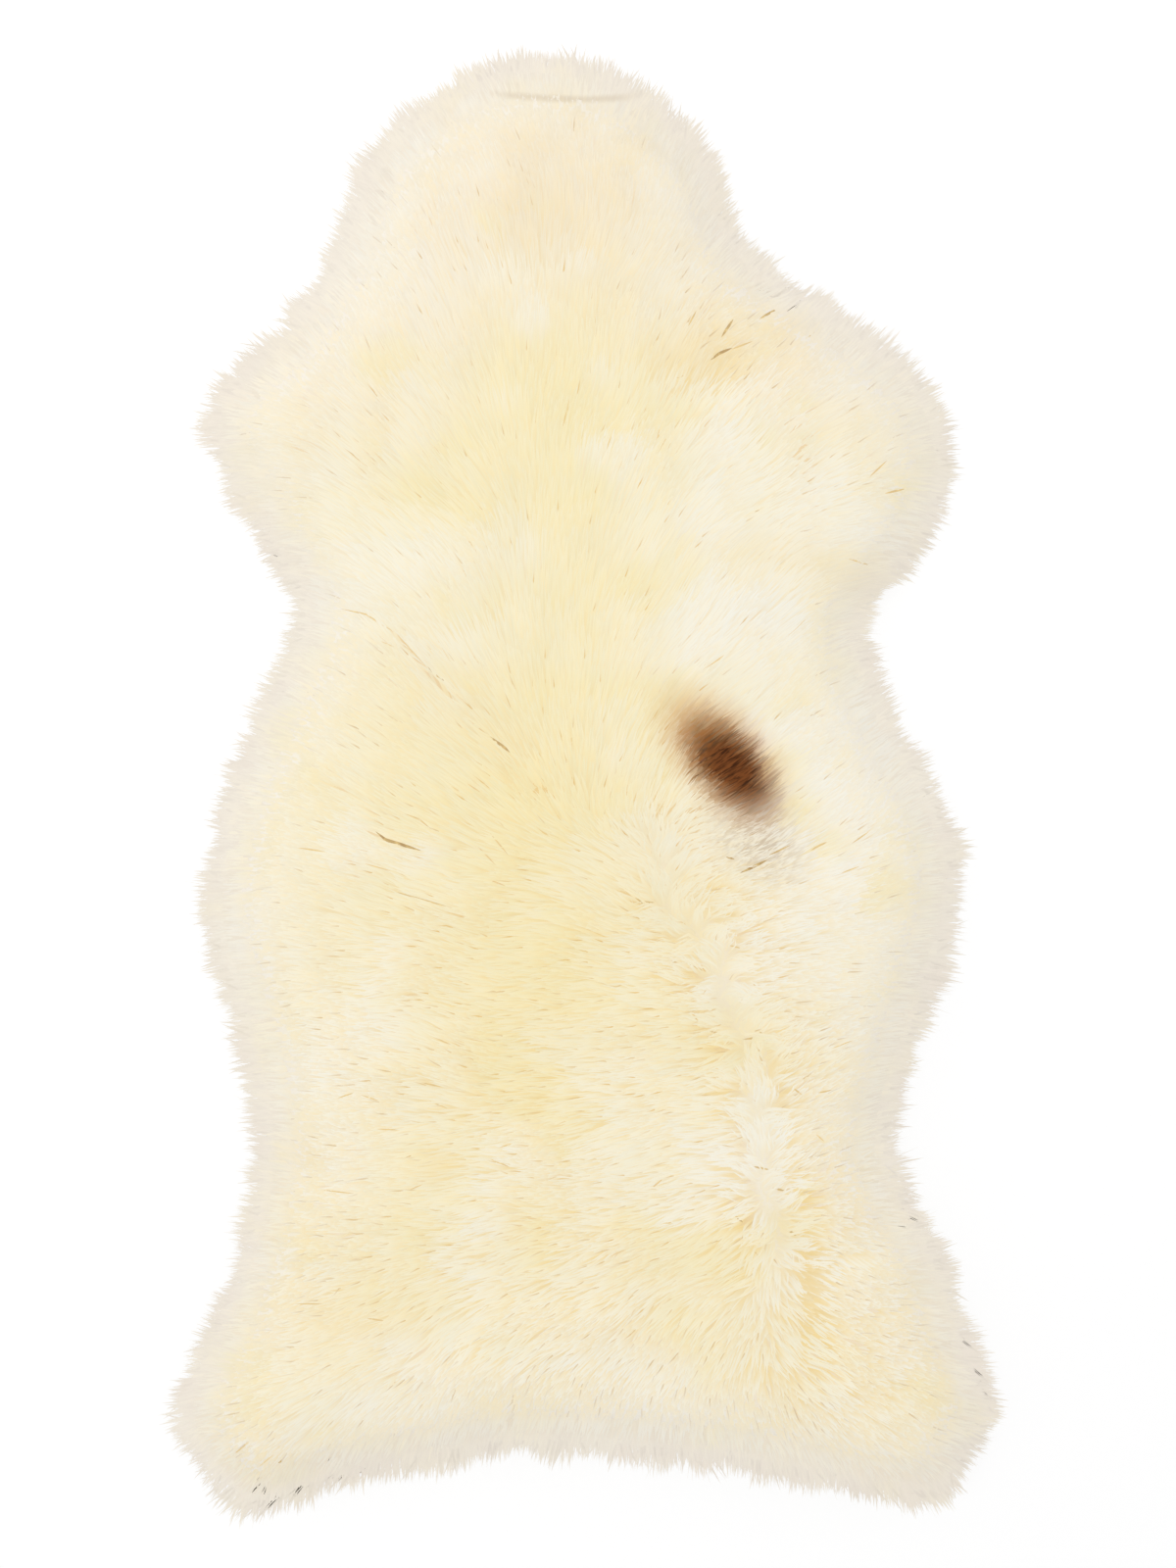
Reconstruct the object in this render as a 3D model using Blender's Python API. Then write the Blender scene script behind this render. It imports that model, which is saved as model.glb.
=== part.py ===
"""A natural sheepskin rug lying flat with its wool up.

The tanned hide and the wool that grows on it are one piece, so the rug is one solid: a lumpy slab
of fleece on a flat skin side, with pointed locks of wool that stand out all round its rim and rest
on the floor. Metres, +Z up. +Y runs from the rump to the neck, and the origin lies under the middle
of the rug, on the floor.
"""

import math
from collections import namedtuple

import bmesh
import bpy
import numpy as np
from mathutils import Vector, noise

MM = 0.001

# Driving sizes. The landmarks below give the width, 0.60 m, and the length, 1.06 m, over the wool.
PILE_HEIGHT = 0.045  # fleece over the back, before its lumps
RIM_HEIGHT = 0.013  # where the locks leave the slab
SHOULDER = 0.075  # how far in from the rim the fleece reaches its full height
LOCK_REACH = 0.026  # from the slab's rim to the wool's edge

# The grid that the slab's top is laid out on. Each of its rim segments carries one lock.
CELLS_ACROSS = 42
CELLS_ALONG = 84
SAMPLES_PER_SPAN = 24  # of the smooth outline, between two landmarks
DIRECTION_REACH = 10  # outward directions are evened over this many samples each way

# Locks
LOCK_BEND_AT = 0.5  # how far along its length a lock bends
LOCK_BEND_WIDTH = 0.7  # of its root
LOCK_BEND_HEIGHT = 0.66  # of its root
LOCK_LENGTH_SPREAD = 0.3  # share by which a lock is longer or shorter than its neighbours
LOCK_LEAN = 0.5  # sideways, as a share of its length
LOCK_LEAN_RUN = 0.23  # how fast the lean changes from one lock to the next
SEED = 11

# Lumps in the fleece: their width and height. They are drawn out along the wool's lie.
Lump = namedtuple("Lump", "size height")
LUMPS = (
    Lump(size=0.100, height=0.0050),
    Lump(size=0.050, height=0.0058),
    Lump(size=0.030, height=0.0042),
)
LUMP_DRAWN_OUT = 1.9  # length over width
LUMP_LAYER = 3.7  # distance between the noise layers, so that no two sizes of lump agree
LIE_TURNS_AT = -0.030  # the wool lies along the rug above this y, and across it below
LIE_TURN_LENGTH = 0.100  # the stretch over which it turns

# The wool's edge, in millimetres, clockwise from the neck as seen from above.
Landmark = namedtuple("Landmark", "name x y")
EDGE = (
    Landmark("neck left corner", -108, 500),
    Landmark("neck tip left", -62, 522),
    Landmark("neck tip right", -8, 524),
    Landmark("neck right corner", 48, 498),
    Landmark("neck right", 96, 446),
    Landmark("neck right base", 116, 391),
    Landmark("shoulder right", 186, 340),
    Landmark("foreleg right upper", 246, 290),
    Landmark("foreleg right tip", 265, 232),
    Landmark("foreleg right lower", 254, 184),
    Landmark("foreleg right under", 226, 142),
    Landmark("armpit right", 202, 112),
    Landmark("chest right", 224, 48),
    Landmark("belly right upper", 264, -28),
    Landmark("belly right", 269, -86),
    Landmark("flank right", 242, -178),
    Landmark("waist right", 221, -258),
    Landmark("thigh right", 254, -330),
    Landmark("hind leg right upper", 281, -402),
    Landmark("hind leg right tip", 297, -450),
    Landmark("hind leg right heel", 254, -515),
    Landmark("rump right outer", 200, -514),
    Landmark("rump right", 118, -496),
    Landmark("rump middle", -42, -482),
    Landmark("rump left", -130, -496),
    Landmark("rump left outer", -184, -508),
    Landmark("hind leg left heel", -240, -526),
    Landmark("hind leg left lower", -286, -488),
    Landmark("hind leg left tip", -298, -440),
    Landmark("hind leg left upper", -274, -388),
    Landmark("thigh left", -249, -318),
    Landmark("waist left", -241, -252),
    Landmark("flank left", -254, -178),
    Landmark("belly left", -277, -100),
    Landmark("belly left upper", -264, -8),
    Landmark("chest left", -231, 72),
    Landmark("armpit left", -213, 126),
    Landmark("foreleg left lower", -242, 178),
    Landmark("foreleg left tip", -278, 250),
    Landmark("foreleg left upper", -262, 290),
    Landmark("shoulder left", -222, 328),
    Landmark("neck left base", -189, 380),
    Landmark("neck left", -160, 452),
)
# The landmarks at which the slab's four sides meet.
SIDE_ENDS = ("neck left", "neck right", "hind leg right heel", "hind leg left heel")

# Partings in the wool, as furrows through the named points, in millimetres.
Parting = namedtuple("Parting", "name path width depth")
PARTINGS = (
    Parting("shoulder parting", ((-180, 126), (-140, 108), (-108, 77), (-50, 19)), width=32, depth=14),
    Parting("shoulder fold", ((66, 270), (100, 290), (136, 306)), width=34, depth=6),
    Parting("back parting", ((48, -50), (88, -112), (126, -190), (148, -290), (164, -392)),
            width=40, depth=9),
    Parting("thigh furrow", ((178, -343), (214, -330), (252, -330)), width=30, depth=8),
    Parting("belly furrow", ((-216, -120), (-212, -170), (-200, -214)), width=32, depth=6),
    Parting("rump furrow", ((-210, -392), (-150, -404), (-90, -400)), width=32, depth=5),
)

WOOL_COLOUR = (0.88, 0.78, 0.56, 1.0)
WOOL_ROUGHNESS = 0.9


def clear_scene():
    for obj in list(bpy.data.objects):
        bpy.data.objects.remove(obj)


def smooth_loop(points, samples):
    """A closed curve through the points, with that many samples from each point to the next."""
    end = np.roll(points, -1, axis=0)
    chord = np.linalg.norm(end - points, axis=1)[:, None]
    slope = (end - np.roll(points, 1, axis=0)) / (chord + np.roll(chord, 1, axis=0))
    end_slope = np.roll(slope, -1, axis=0)
    spans = []
    for t in np.arange(samples) / samples:
        reached = t * t * (3 - 2 * t)
        bends = t * (1 - t) ** 2 * slope - t * t * (1 - t) * end_slope
        spans.append(points + reached * (end - points) + chord * bends)
    return np.stack(spans, axis=1).reshape(-1, 2)


def outward(loop):
    """The direction that faces away from the rug at each point of a clockwise loop, evened a little."""
    reach = range(1, DIRECTION_REACH + 1)
    along = sum(np.roll(loop, -n, axis=0) - np.roll(loop, n, axis=0) for n in reach)
    direction = np.stack([-along[:, 1], along[:, 0]], axis=1)
    return direction / np.linalg.norm(direction, axis=1)[:, None]


def evenly(line, count):
    """The open line again, as that many points at equal distances along it.

    Columns past x and y are carried along.
    """
    run = np.concatenate([[0], np.cumsum(np.linalg.norm(np.diff(line[:, :2], axis=0), axis=1))])
    at = np.linspace(0, run[-1], count)
    return np.stack([np.interp(at, run, column) for column in line.T], axis=1)


def rim_and_outward():
    """The slab's rim, clockwise from the neck, as a point for each lock's root, and its directions outward.

    The points are evenly spread half way along the locks, so locks crowd neither at corners nor in hollows.
    """
    names = [mark.name for mark in EDGE]
    edge = smooth_loop(np.array([(mark.x, mark.y) for mark in EDGE]) * MM, SAMPLES_PER_SPAN)
    away = outward(edge)
    half_way = np.concatenate([edge - away * LOCK_REACH / 2, away], axis=1)
    corners = [names.index(name) * SAMPLES_PER_SPAN for name in SIDE_ENDS]
    sides = []
    for side, cells in enumerate((CELLS_ACROSS, CELLS_ALONG, CELLS_ACROSS, CELLS_ALONG)):
        start, end = corners[side], corners[(side + 1) % len(corners)]
        steps = (end - start) % len(edge)
        stretch = half_way[(start + np.arange(steps + 1)) % len(edge)]
        sides.append(evenly(stretch, cells + 1)[:-1])
    points = np.concatenate(sides)
    away = points[:, 2:] / np.linalg.norm(points[:, 2:], axis=1)[:, None]
    return points[:, :2] - away * LOCK_REACH / 2, away


def grid_between(rim):
    """Points of the slab's grid, blended from the rim's four sides: [row along the rug, column across]."""
    ends = np.cumsum([0, CELLS_ACROSS, CELLS_ALONG, CELLS_ACROSS, CELLS_ALONG])
    closed = np.concatenate([rim, rim[:1]])
    neck, right, rump, left = (closed[start : end + 1] for start, end in zip(ends[:-1], ends[1:]))
    rump, left = rump[::-1], left[::-1]
    u = np.linspace(0, 1, CELLS_ACROSS + 1)[None, :, None]
    v = np.linspace(0, 1, CELLS_ALONG + 1)[:, None, None]
    lengthwise = (1 - v) * neck[None] + v * rump[None]
    crosswise = (1 - u) * left[:, None] + u * right[:, None]
    corners = (1 - v) * ((1 - u) * neck[0] + u * neck[-1]) + v * ((1 - u) * rump[0] + u * rump[-1])
    return lengthwise + crosswise - corners


def distance_to(points, line):
    """How far each point is from the nearest point of a finely sampled line."""
    return np.linalg.norm(points[..., None, :] - line, axis=-1).min(axis=-1)


def lump_height(x, y):
    """The lumps' height at a place. They run along the rug at its neck end, and across it at its rump."""
    along = min(max((y - LIE_TURNS_AT) / LIE_TURN_LENGTH + 0.5, 0), 1)
    height = 0
    for layer, lump in enumerate(LUMPS):
        long_way = lump.size * LUMP_DRAWN_OUT
        lengthwise = noise.noise(Vector((x / lump.size, y / long_way, layer * LUMP_LAYER)))
        crosswise = noise.noise(Vector((x / long_way, y / lump.size, -layer * LUMP_LAYER)))
        height += lump.height * (along * lengthwise + (1 - along) * crosswise)
    return height


def fleece_heights(points, rim):
    """The height of the wool over each point of the grid."""
    inward = np.clip(distance_to(points, rim) / SHOULDER, 0, 1)
    height = RIM_HEIGHT + (PILE_HEIGHT - RIM_HEIGHT) * np.sqrt(1 - (1 - inward) ** 2)
    height += inward * np.vectorize(lump_height)(points[..., 0], points[..., 1])
    for parting in PARTINGS:
        line = evenly(np.array(parting.path) * MM, SAMPLES_PER_SPAN * len(parting.path))
        furrow = np.exp(-((2 * distance_to(points, line) / (parting.width * MM)) ** 2))
        height -= inward * parting.depth * MM * furrow
    return height


def add_slab(bm, plan, height):
    """The slab's top and flat skin side. Returns its rim, clockwise from the neck: the top and the feet."""
    top = [
        [bm.verts.new((x, y, z)) for (x, y), z in zip(places, heights)]
        for places, heights in zip(plan, height)
    ]
    for row, next_row in zip(top, top[1:]):
        for cell in range(CELLS_ACROSS):
            bm.faces.new((row[cell], next_row[cell], next_row[cell + 1], row[cell + 1]))
    right = [row[-1] for row in top[:-1]]
    left = [row[0] for row in top[:0:-1]]
    rim_top = top[0][:-1] + right + top[-1][:0:-1] + left
    rim_foot = [bm.verts.new((*vert.co.xy, 0)) for vert in rim_top]
    bm.faces.new(rim_foot)
    return rim_top, rim_foot


def add_lock(bm, roots, tip, lean):
    """One four-sided lock on its root face, given as (left foot, left top, right top, right foot).

    It narrows to a bend, and from there to its tip on the floor.
    """
    left_foot, _, _, right_foot = roots
    across = (right_foot.co - left_foot.co) * LOCK_BEND_WIDTH / 2
    bend = (left_foot.co + right_foot.co) / 2 * (1 - LOCK_BEND_AT) + tip * LOCK_BEND_AT + lean
    top = Vector((0, 0, RIM_HEIGHT * LOCK_BEND_HEIGHT))
    ring = [bm.verts.new(bend + offset) for offset in (-across, top - across, top + across, across)]
    point = bm.verts.new(tip)
    for side in range(len(roots)):
        after = (side + 1) % len(roots)
        bm.faces.new((roots[side], roots[after], ring[after], ring[side]))
        bm.faces.new((ring[side], ring[after], point))


def add_locks(bm, rim_top, rim_foot, away):
    rng = np.random.default_rng(SEED)
    for n in range(len(rim_foot)):
        after = (n + 1) % len(rim_foot)
        reach = LOCK_REACH * (1 + LOCK_LENGTH_SPREAD * rng.uniform(-1, 1))
        direction = Vector((*(away[n] + away[after]), 0)).normalized()
        sideways = Vector((-direction.y, direction.x, 0))
        lean = sideways * reach * LOCK_LEAN * noise.noise(Vector((n * LOCK_LEAN_RUN, SEED, 0)))
        tip = (rim_foot[n].co + rim_foot[after].co) / 2 + direction * reach - lean
        add_lock(bm, (rim_foot[n], rim_top[n], rim_top[after], rim_foot[after]), tip, lean)


def put_origin_under_middle(bm):
    """Moves the mesh in plan, so that the origin lies under the middle of its box."""
    places = np.array([vert.co.xy for vert in bm.verts])
    middle = (places.min(axis=0) + places.max(axis=0)) / 2
    bmesh.ops.translate(bm, verts=bm.verts, vec=(-middle[0], -middle[1], 0))


def build_sheepskin():
    rim, away = rim_and_outward()
    plan = grid_between(rim)
    fine_rim = evenly(np.concatenate([rim, rim[:1]]), len(rim) * 4)
    bm = bmesh.new()
    rim_top, rim_foot = add_slab(bm, plan, fleece_heights(plan, fine_rim))
    add_locks(bm, rim_top, rim_foot, away)
    bmesh.ops.recalc_face_normals(bm, faces=bm.faces)
    put_origin_under_middle(bm)
    mesh = bpy.data.meshes.new("sheepskin")
    bm.to_mesh(mesh)
    bm.free()
    mesh.shade_smooth()
    mesh.set_sharp_from_angle(angle=math.radians(50))
    return mesh


def wool_material():
    material = bpy.data.materials.new("wool")
    material.use_nodes = True
    shader = material.node_tree.nodes["Principled BSDF"]
    shader.inputs["Base Color"].default_value = WOOL_COLOUR
    shader.inputs["Roughness"].default_value = WOOL_ROUGHNESS
    shader.inputs["Metallic"].default_value = 0.0
    return material


def main():
    clear_scene()
    mesh = build_sheepskin()
    mesh.materials.append(wool_material())
    rug = bpy.data.objects.new("sheepskin", mesh)
    bpy.context.scene.collection.objects.link(rug)


main()
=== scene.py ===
"""A sheepskin rug, seen from above: its wool, its fleece underneath and the suede of its skin side.

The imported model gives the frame: one body, root, and one solid, sheepskin, which the pieces made here
replace. All sizes are in metres, and +Y runs from the rump to the neck.
"""

import math
from collections import namedtuple

import bmesh
import bpy
import numpy as np
from bpy.props import FloatProperty, FloatVectorProperty, PointerProperty
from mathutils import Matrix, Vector, bvhtree, kdtree, noise


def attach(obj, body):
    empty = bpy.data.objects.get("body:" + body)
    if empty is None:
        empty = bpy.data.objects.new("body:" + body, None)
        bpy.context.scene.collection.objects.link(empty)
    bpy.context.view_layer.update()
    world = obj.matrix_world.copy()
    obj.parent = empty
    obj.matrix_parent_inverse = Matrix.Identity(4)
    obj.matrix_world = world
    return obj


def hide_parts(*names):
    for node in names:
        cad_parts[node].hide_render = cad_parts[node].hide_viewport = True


bl_info = {
    "name": "Sheepskin Rug",
    "version": (1, 0, 0),
    "blender": (4, 5, 0),
    "location": "View3D > Sidebar > Sheepskin",
    "description": "Builds a natural sheepskin rug with its wool on a tanned hide",
    "category": "Object",
}

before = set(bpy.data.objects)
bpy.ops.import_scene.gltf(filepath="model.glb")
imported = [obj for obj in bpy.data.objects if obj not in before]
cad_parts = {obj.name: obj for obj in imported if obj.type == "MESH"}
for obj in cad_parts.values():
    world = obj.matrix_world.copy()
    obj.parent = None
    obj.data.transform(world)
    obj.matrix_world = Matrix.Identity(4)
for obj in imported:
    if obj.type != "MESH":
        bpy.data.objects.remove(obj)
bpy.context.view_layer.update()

SKIN_SOLID = "sheepskin"
BODY = "root"
MM = 0.001
WELD = 0.00001
FLEECE = "fleece"
HIDE = "hide"

# The photograph's frame, in the rug's own frame
PHOTO_MIDDLE = (0.006, 0.0)  # the point of the floor that its middle shows
PHOTO_HEIGHT = 1.120  # what the frame's height covers
PHOTO_LENS_MM = 85
SENSOR_MM = 36
FLOOR_REACH = 60.0  # from its middle to its edge, so that it ends far behind the rug in a view from the side
LAMP_SIZE = 1.6
LAMP_PLACE = (-1.5, 1.6, 2.2)  # at the upper left of the photograph


# ---------------------------------------------------------------- the wool's lie and its features

# Where the wool points, in degrees from +X towards +Y, at places across the rug given in millimetres.
LieRow = namedtuple("LieRow", "y across towards")
LIE = (
    LieRow(500, (-78, -15, 48), (115, 95, 72)),
    LieRow(434, (-141, -78, -15, 48, 111), (136, 118, 98, 72, 55)),
    LieRow(370, (-180, -141, -78, -15, 48, 111), (142, 130, 108, 88, 70, 52)),
    LieRow(308, (-232, -141, -78, -15, 48, 111, 190), (150, 128, 104, 84, 66, 44, 40)),
    LieRow(245, (-262, -204, -141, -78, -15, 48, 111, 174, 250), (172, 160, 136, 120, 84, 62, 54, 38, 10)),
    LieRow(182, (-240, -204, -141, -78, -15, 48, 111, 174, 240), (186, 172, 150, 130, 84, 58, 34, 8, -18)),
    LieRow(119, (-204, -141, -78, -15, 48, 111, 190), (182, 156, 118, 84, 56, 48, 20)),
    LieRow(56, (-220, -141, -78, -15, 48, 111, 200), (170, 148, 128, 88, 54, 40, 34)),
    LieRow(-7, (-254, -141, -78, -30, 20, 111, 174, 256), (174, 152, 146, 140, 60, 38, 34, 14)),
    LieRow(-70, (-262, -141, -78, -15, 30, 90, 174, 262), (186, 168, 164, 172, 166, 20, 20, 4)),
    LieRow(-133, (-262, -141, -15, 70, 130, 174, 258), (181, 177, 174, 180, 10, 0, 0)),
    LieRow(-196, (-248, -141, -78, 0, 90, 160, 236), (181, 176, 172, 186, 190, 22, -4)),
    LieRow(-260, (-236, -141, -15, 90, 164, 222), (180, 180, 181, 186, 26, 0)),
    LieRow(-322, (-244, -141, -78, 0, 100, 180, 238), (182, 187, 191, 191, 200, -14, -4)),
    LieRow(
        -385, (-266, -200, -141, -78, 0, 90, 170, 236, 280), (190, 188, 200, 212, 216, 236, -24, -10, -14)
    ),
    LieRow(
        -448, (-284, -204, -141, -60, 20, 110, 180, 236, 288), (196, 208, 236, 250, 262, 284, -44, -28, -20)
    ),
    LieRow(-500, (-262, -200, -100, 20, 120, 200, 250), (216, 236, 262, 270, 280, -66, -44)),
)
LIE_REACH = 0.034  # how far a place in the table has its say

# How tufted the wool is around a place: 0 is silky, 1 stands in separate tufts.
Zone = namedtuple("Zone", "name x y reach amount")
TUFTED_ZONES = (
    Zone("belly", -40, -190, 170, 0.62),
    Zone("loin", 0, -330, 150, 0.70),
    Zone("left thigh", -190, -340, 90, 0.62),
    Zone("back parting", 90, -110, 60, 1.0),
    Zone("back parting middle", 128, -200, 55, 1.0),
    Zone("back parting rear", 146, -310, 70, 1.0),
    Zone("right thigh", 180, -400, 80, 0.9),
    Zone("left hind corner", -240, -490, 60, 0.8),
    Zone("streaky shoulder", 95, 300, 50, 0.45),
)
SILKY = 0.06

# Partings that show the wool's depth, in millimetres.
Slit = namedtuple("Slit", "name path width")
SLITS = (
    Slit("shoulder parting", ((-172, 126), (-132, 108), (-106, 77), (-60, 28)), 4.2),
    Slit("flank parting", ((-150, -35), (-126, -43)), 5.0),
    Slit("upper flank parting", ((-163, -64), (-148, -68)), 3.4),
    Slit("lower flank parting", ((-102, -103), (-86, -106)), 3.4),
    Slit("back whorl", ((34, -80), (46, -88)), 4.0),
    Slit("right shoulder slit", ((94, 304), (118, 315)), 4.2),
    Slit("upper shoulder slit", ((98, 322), (110, 328)), 3.4),
    Slit("outer shoulder slit", ((130, 333), (141, 339)), 3.4),
    Slit("chest notch", ((90, 215), (97, 219)), 3.0),
)

# Painted shadow: the notches are dark slivers laid on the wool where the gaps between tufts are shaded.
# The slits that stand out in the photograph, by their places in its frame of 1200 by 1600 pixels: how wide
# they are there in pixels, and how dark, from golden at 0 to umber at 1.
PHOTO_TALL = 1600
PHOTO_WIDE = 1200
Notch = namedtuple("Notch", "path wide dark")
NOTCHES = (
    # the parting from the left shoulder
    Notch(((345, 620), (372, 626), (402, 645)), 1.6, 0.40),
    Notch(((404, 647), (420, 664), (436, 682)), 1.0, 0.35),
    Notch(((434, 677), (444, 687), (454, 695)), 3.4, 0.90), Notch(((455, 697), (478, 721)), 1.0, 0.30),
    Notch(((477, 734), (500, 752)), 1.0, 0.35), Notch(((499, 751), (512, 761), (526, 771)), 3.0, 0.75),
    Notch(((446, 652), (461, 678)), 1.1, 0.30), Notch(((388, 654), (402, 660)), 1.0, 0.30),
    # the left flank
    Notch(((383, 848), (394, 857), (410, 862), (430, 868)), 3.6, 0.85),
    Notch(((412, 830), (428, 836), (441, 847)), 1.6, 0.45),
    Notch(((303, 865), (332, 869)), 1.6, 0.40), Notch(((372, 881), (400, 889)), 1.3, 0.35),
    Notch(((400, 909), (428, 917), (457, 925)), 1.7, 0.55), Notch(((446, 888), (471, 892)), 1.5, 0.50),
    Notch(((500, 850), (519, 873)), 1.5, 0.40), Notch(((486, 862), (506, 883)), 1.4, 0.35),
    Notch(((457, 801), (470, 808)), 1.5, 0.35), Notch(((476, 799), (491, 809)), 1.4, 0.35),
    Notch(((415, 892), (428, 897)), 1.6, 0.35), Notch(((500, 898), (516, 904)), 1.6, 0.35),
    # the right shoulder and elbow
    Notch(((702, 333), (711, 316)), 1.8, 0.55), Notch(((736, 344), (749, 324)), 2.8, 0.70),
    Notch(((725, 367), (734, 360), (748, 354)), 3.0, 0.80), Notch(((746, 356), (769, 347)), 1.8, 0.45),
    Notch(((775, 324), (795, 311)), 2.6, 0.65), Notch(((826, 342), (839, 327)), 1.6, 0.50),
    Notch(((689, 386), (701, 381)), 2.0, 0.35), Notch(((770, 522), (781, 520), (795, 511)), 4.0, 0.60),
    Notch(((795, 547), (810, 549)), 2.0, 0.40), Notch(((784, 558), (808, 562)), 1.2, 0.35),
    Notch(((798, 583), (822, 577)), 1.4, 0.35), Notch(((903, 503), (926, 497)), 2.2, 0.50),
    Notch(((887, 487), (906, 469)), 1.6, 0.45), Notch(((804, 649), (823, 631)), 1.2, 0.35),
    Notch(((720, 682), (746, 664)), 1.4, 0.35), Notch(((866, 569), (891, 575)), 1.6, 0.45),
    # below the dark patch, and the right flank
    Notch(((740, 874), (750, 877)), 2.2, 0.75), Notch(((755, 891), (768, 885), (784, 877)), 3.0, 0.90),
    Notch(((784, 873), (808, 862)), 2.0, 0.65), Notch(((827, 868), (844, 859)), 2.6, 0.50),
    Notch(((869, 861), (888, 848)), 1.4, 0.50), Notch(((858, 891), (877, 884)), 1.3, 0.45),
    Notch(((835, 1116), (850, 1113)), 1.8, 0.50), Notch(((850, 1070), (872, 1062)), 1.2, 0.40),
    # the back parting
    Notch(((648, 916), (656, 921), (668, 921)), 2.8, 0.70), Notch(((681, 980), (693, 983)), 2.0, 0.55),
    Notch(((703, 984), (718, 991)), 2.0, 0.55), Notch(((744, 965), (757, 968)), 1.8, 0.45),
    Notch(((704, 1031), (713, 1043)), 1.8, 0.45), Notch(((724, 1052), (740, 1057)), 2.4, 0.50),
    Notch(((758, 1061), (783, 1059)), 2.4, 0.60), Notch(((774, 1051), (783, 1062)), 2.0, 0.60),
    Notch(((799, 1083), (807, 1074)), 1.8, 0.45), Notch(((810, 1111), (819, 1118)), 2.0, 0.45),
    Notch(((768, 1190), (786, 1194)), 2.2, 0.60), Notch(((788, 1212), (802, 1216)), 2.2, 0.60),
    Notch(((749, 1239), (758, 1247)), 2.6, 0.65), Notch(((803, 1254), (814, 1263)), 2.6, 0.65),
    Notch(((816, 1248), (828, 1255)), 2.0, 0.55), Notch(((769, 1277), (782, 1286)), 2.2, 0.50),
    Notch(((664, 1213), (677, 1202)), 1.8, 0.40), Notch(((833, 1158), (842, 1166)), 1.6, 0.40),
    # the loin and the left thigh
    Notch(((344, 1121), (361, 1115)), 1.5, 0.45), Notch(((368, 1117), (387, 1123)), 1.4, 0.40),
    Notch(((430, 1104), (452, 1109)), 1.6, 0.50), Notch(((438, 1123), (457, 1131)), 1.4, 0.50),
    Notch(((384, 1152), (407, 1153)), 1.4, 0.45), Notch(((328, 1215), (362, 1218)), 1.4, 0.45),
    Notch(((418, 1214), (432, 1208)), 1.3, 0.40), Notch(((438, 1234), (462, 1238)), 1.3, 0.45),
    Notch(((300, 1332), (330, 1331)), 1.4, 0.45), Notch(((453, 1327), (472, 1317)), 1.4, 0.45),
    Notch(((374, 1345), (393, 1348)), 1.8, 0.40), Notch(((520, 1190), (500, 1182)), 1.8, 0.45),
    Notch(((262, 1501), (279, 1486)), 1.0, 0.35), Notch(((234, 1491), (253, 1473)), 1.4, 0.40),
    # the dark speck on the left hind corner
    Notch(((282, 1497), (284, 1495), (287, 1493)), 3.0, 1.0),
)
WOOL_NEARER = 0.9925  # a pixel shows less of the wool than of the floor, which lies a little further off
PIXEL = PHOTO_HEIGHT / PHOTO_TALL * WOOL_NEARER
NOTCH_STEP = 0.0022  # between the places that make up a slit
NOTCH_HIGH = 0.0006  # over the fleece, so that some wisps lie across
NOTCH_THICK = 0.15  # of its breadth


# The crease across the neck, painted as a soft shade, in millimetres
CREASE_MIDDLE = (-11, 488.5)
CREASE_HALF = 62  # from its middle to where it has faded out
CREASE_BEND = 2.4  # how much it curves towards the neck, in metres for each square metre
CREASE_WIDE = 5.0
# how strongly the painted shade darkens the crease
CREASE_SHADE = 0.45


def lie_at(places):
    """The wool's lie at places in plan: a horizontal vector, short where the wool has no clear lie."""
    at = np.array([
        (x * MM, row.y * MM, math.radians(towards))
        for row in LIE
        for x, towards in zip(row.across, row.towards)
    ])
    ways = np.stack([np.cos(at[:, 2]), np.sin(at[:, 2])], axis=1)
    far = np.linalg.norm(places[:, None, :] - at[None, :, :2], axis=-1) / LIE_REACH
    weight = np.exp(-far**2) + 1e-9
    return weight @ ways / weight.sum(axis=1)[:, None]


def zone_amount(places, zones, floor):
    """The largest amount that any zone gives at each place, fading out with distance."""
    amount = np.full(len(places), floor)
    for zone in zones:
        far = np.linalg.norm(places - np.array((zone.x, zone.y)) * MM, axis=1) / (zone.reach * MM)
        amount = np.maximum(amount, floor + (zone.amount - floor) * np.exp(-far**2))
    return amount


def along_path(path, step):
    """Points at even distances along a path, and its direction at each of them."""
    corners = np.array(path) * MM
    run = np.concatenate([[0], np.cumsum(np.linalg.norm(np.diff(corners, axis=0), axis=1))])
    at = np.linspace(0, run[-1], max(2, round(run[-1] / step) + 1))
    points = np.stack([np.interp(at, run, corners[:, axis]) for axis in range(2)], axis=1)
    towards = np.gradient(points, axis=0)
    return points, towards / np.linalg.norm(towards, axis=1)[:, None]


def from_photo(x, y):
    """The place in plan, in millimetres, that shows at a pixel of the photograph."""
    across = (x - PHOTO_WIDE / 2) * PIXEL / MM + PHOTO_MIDDLE[0] / MM
    return across, (PHOTO_TALL / 2 - y) * PIXEL / MM + PHOTO_MIDDLE[1] / MM


# ---------------------------------------------------------------- node trees


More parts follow.
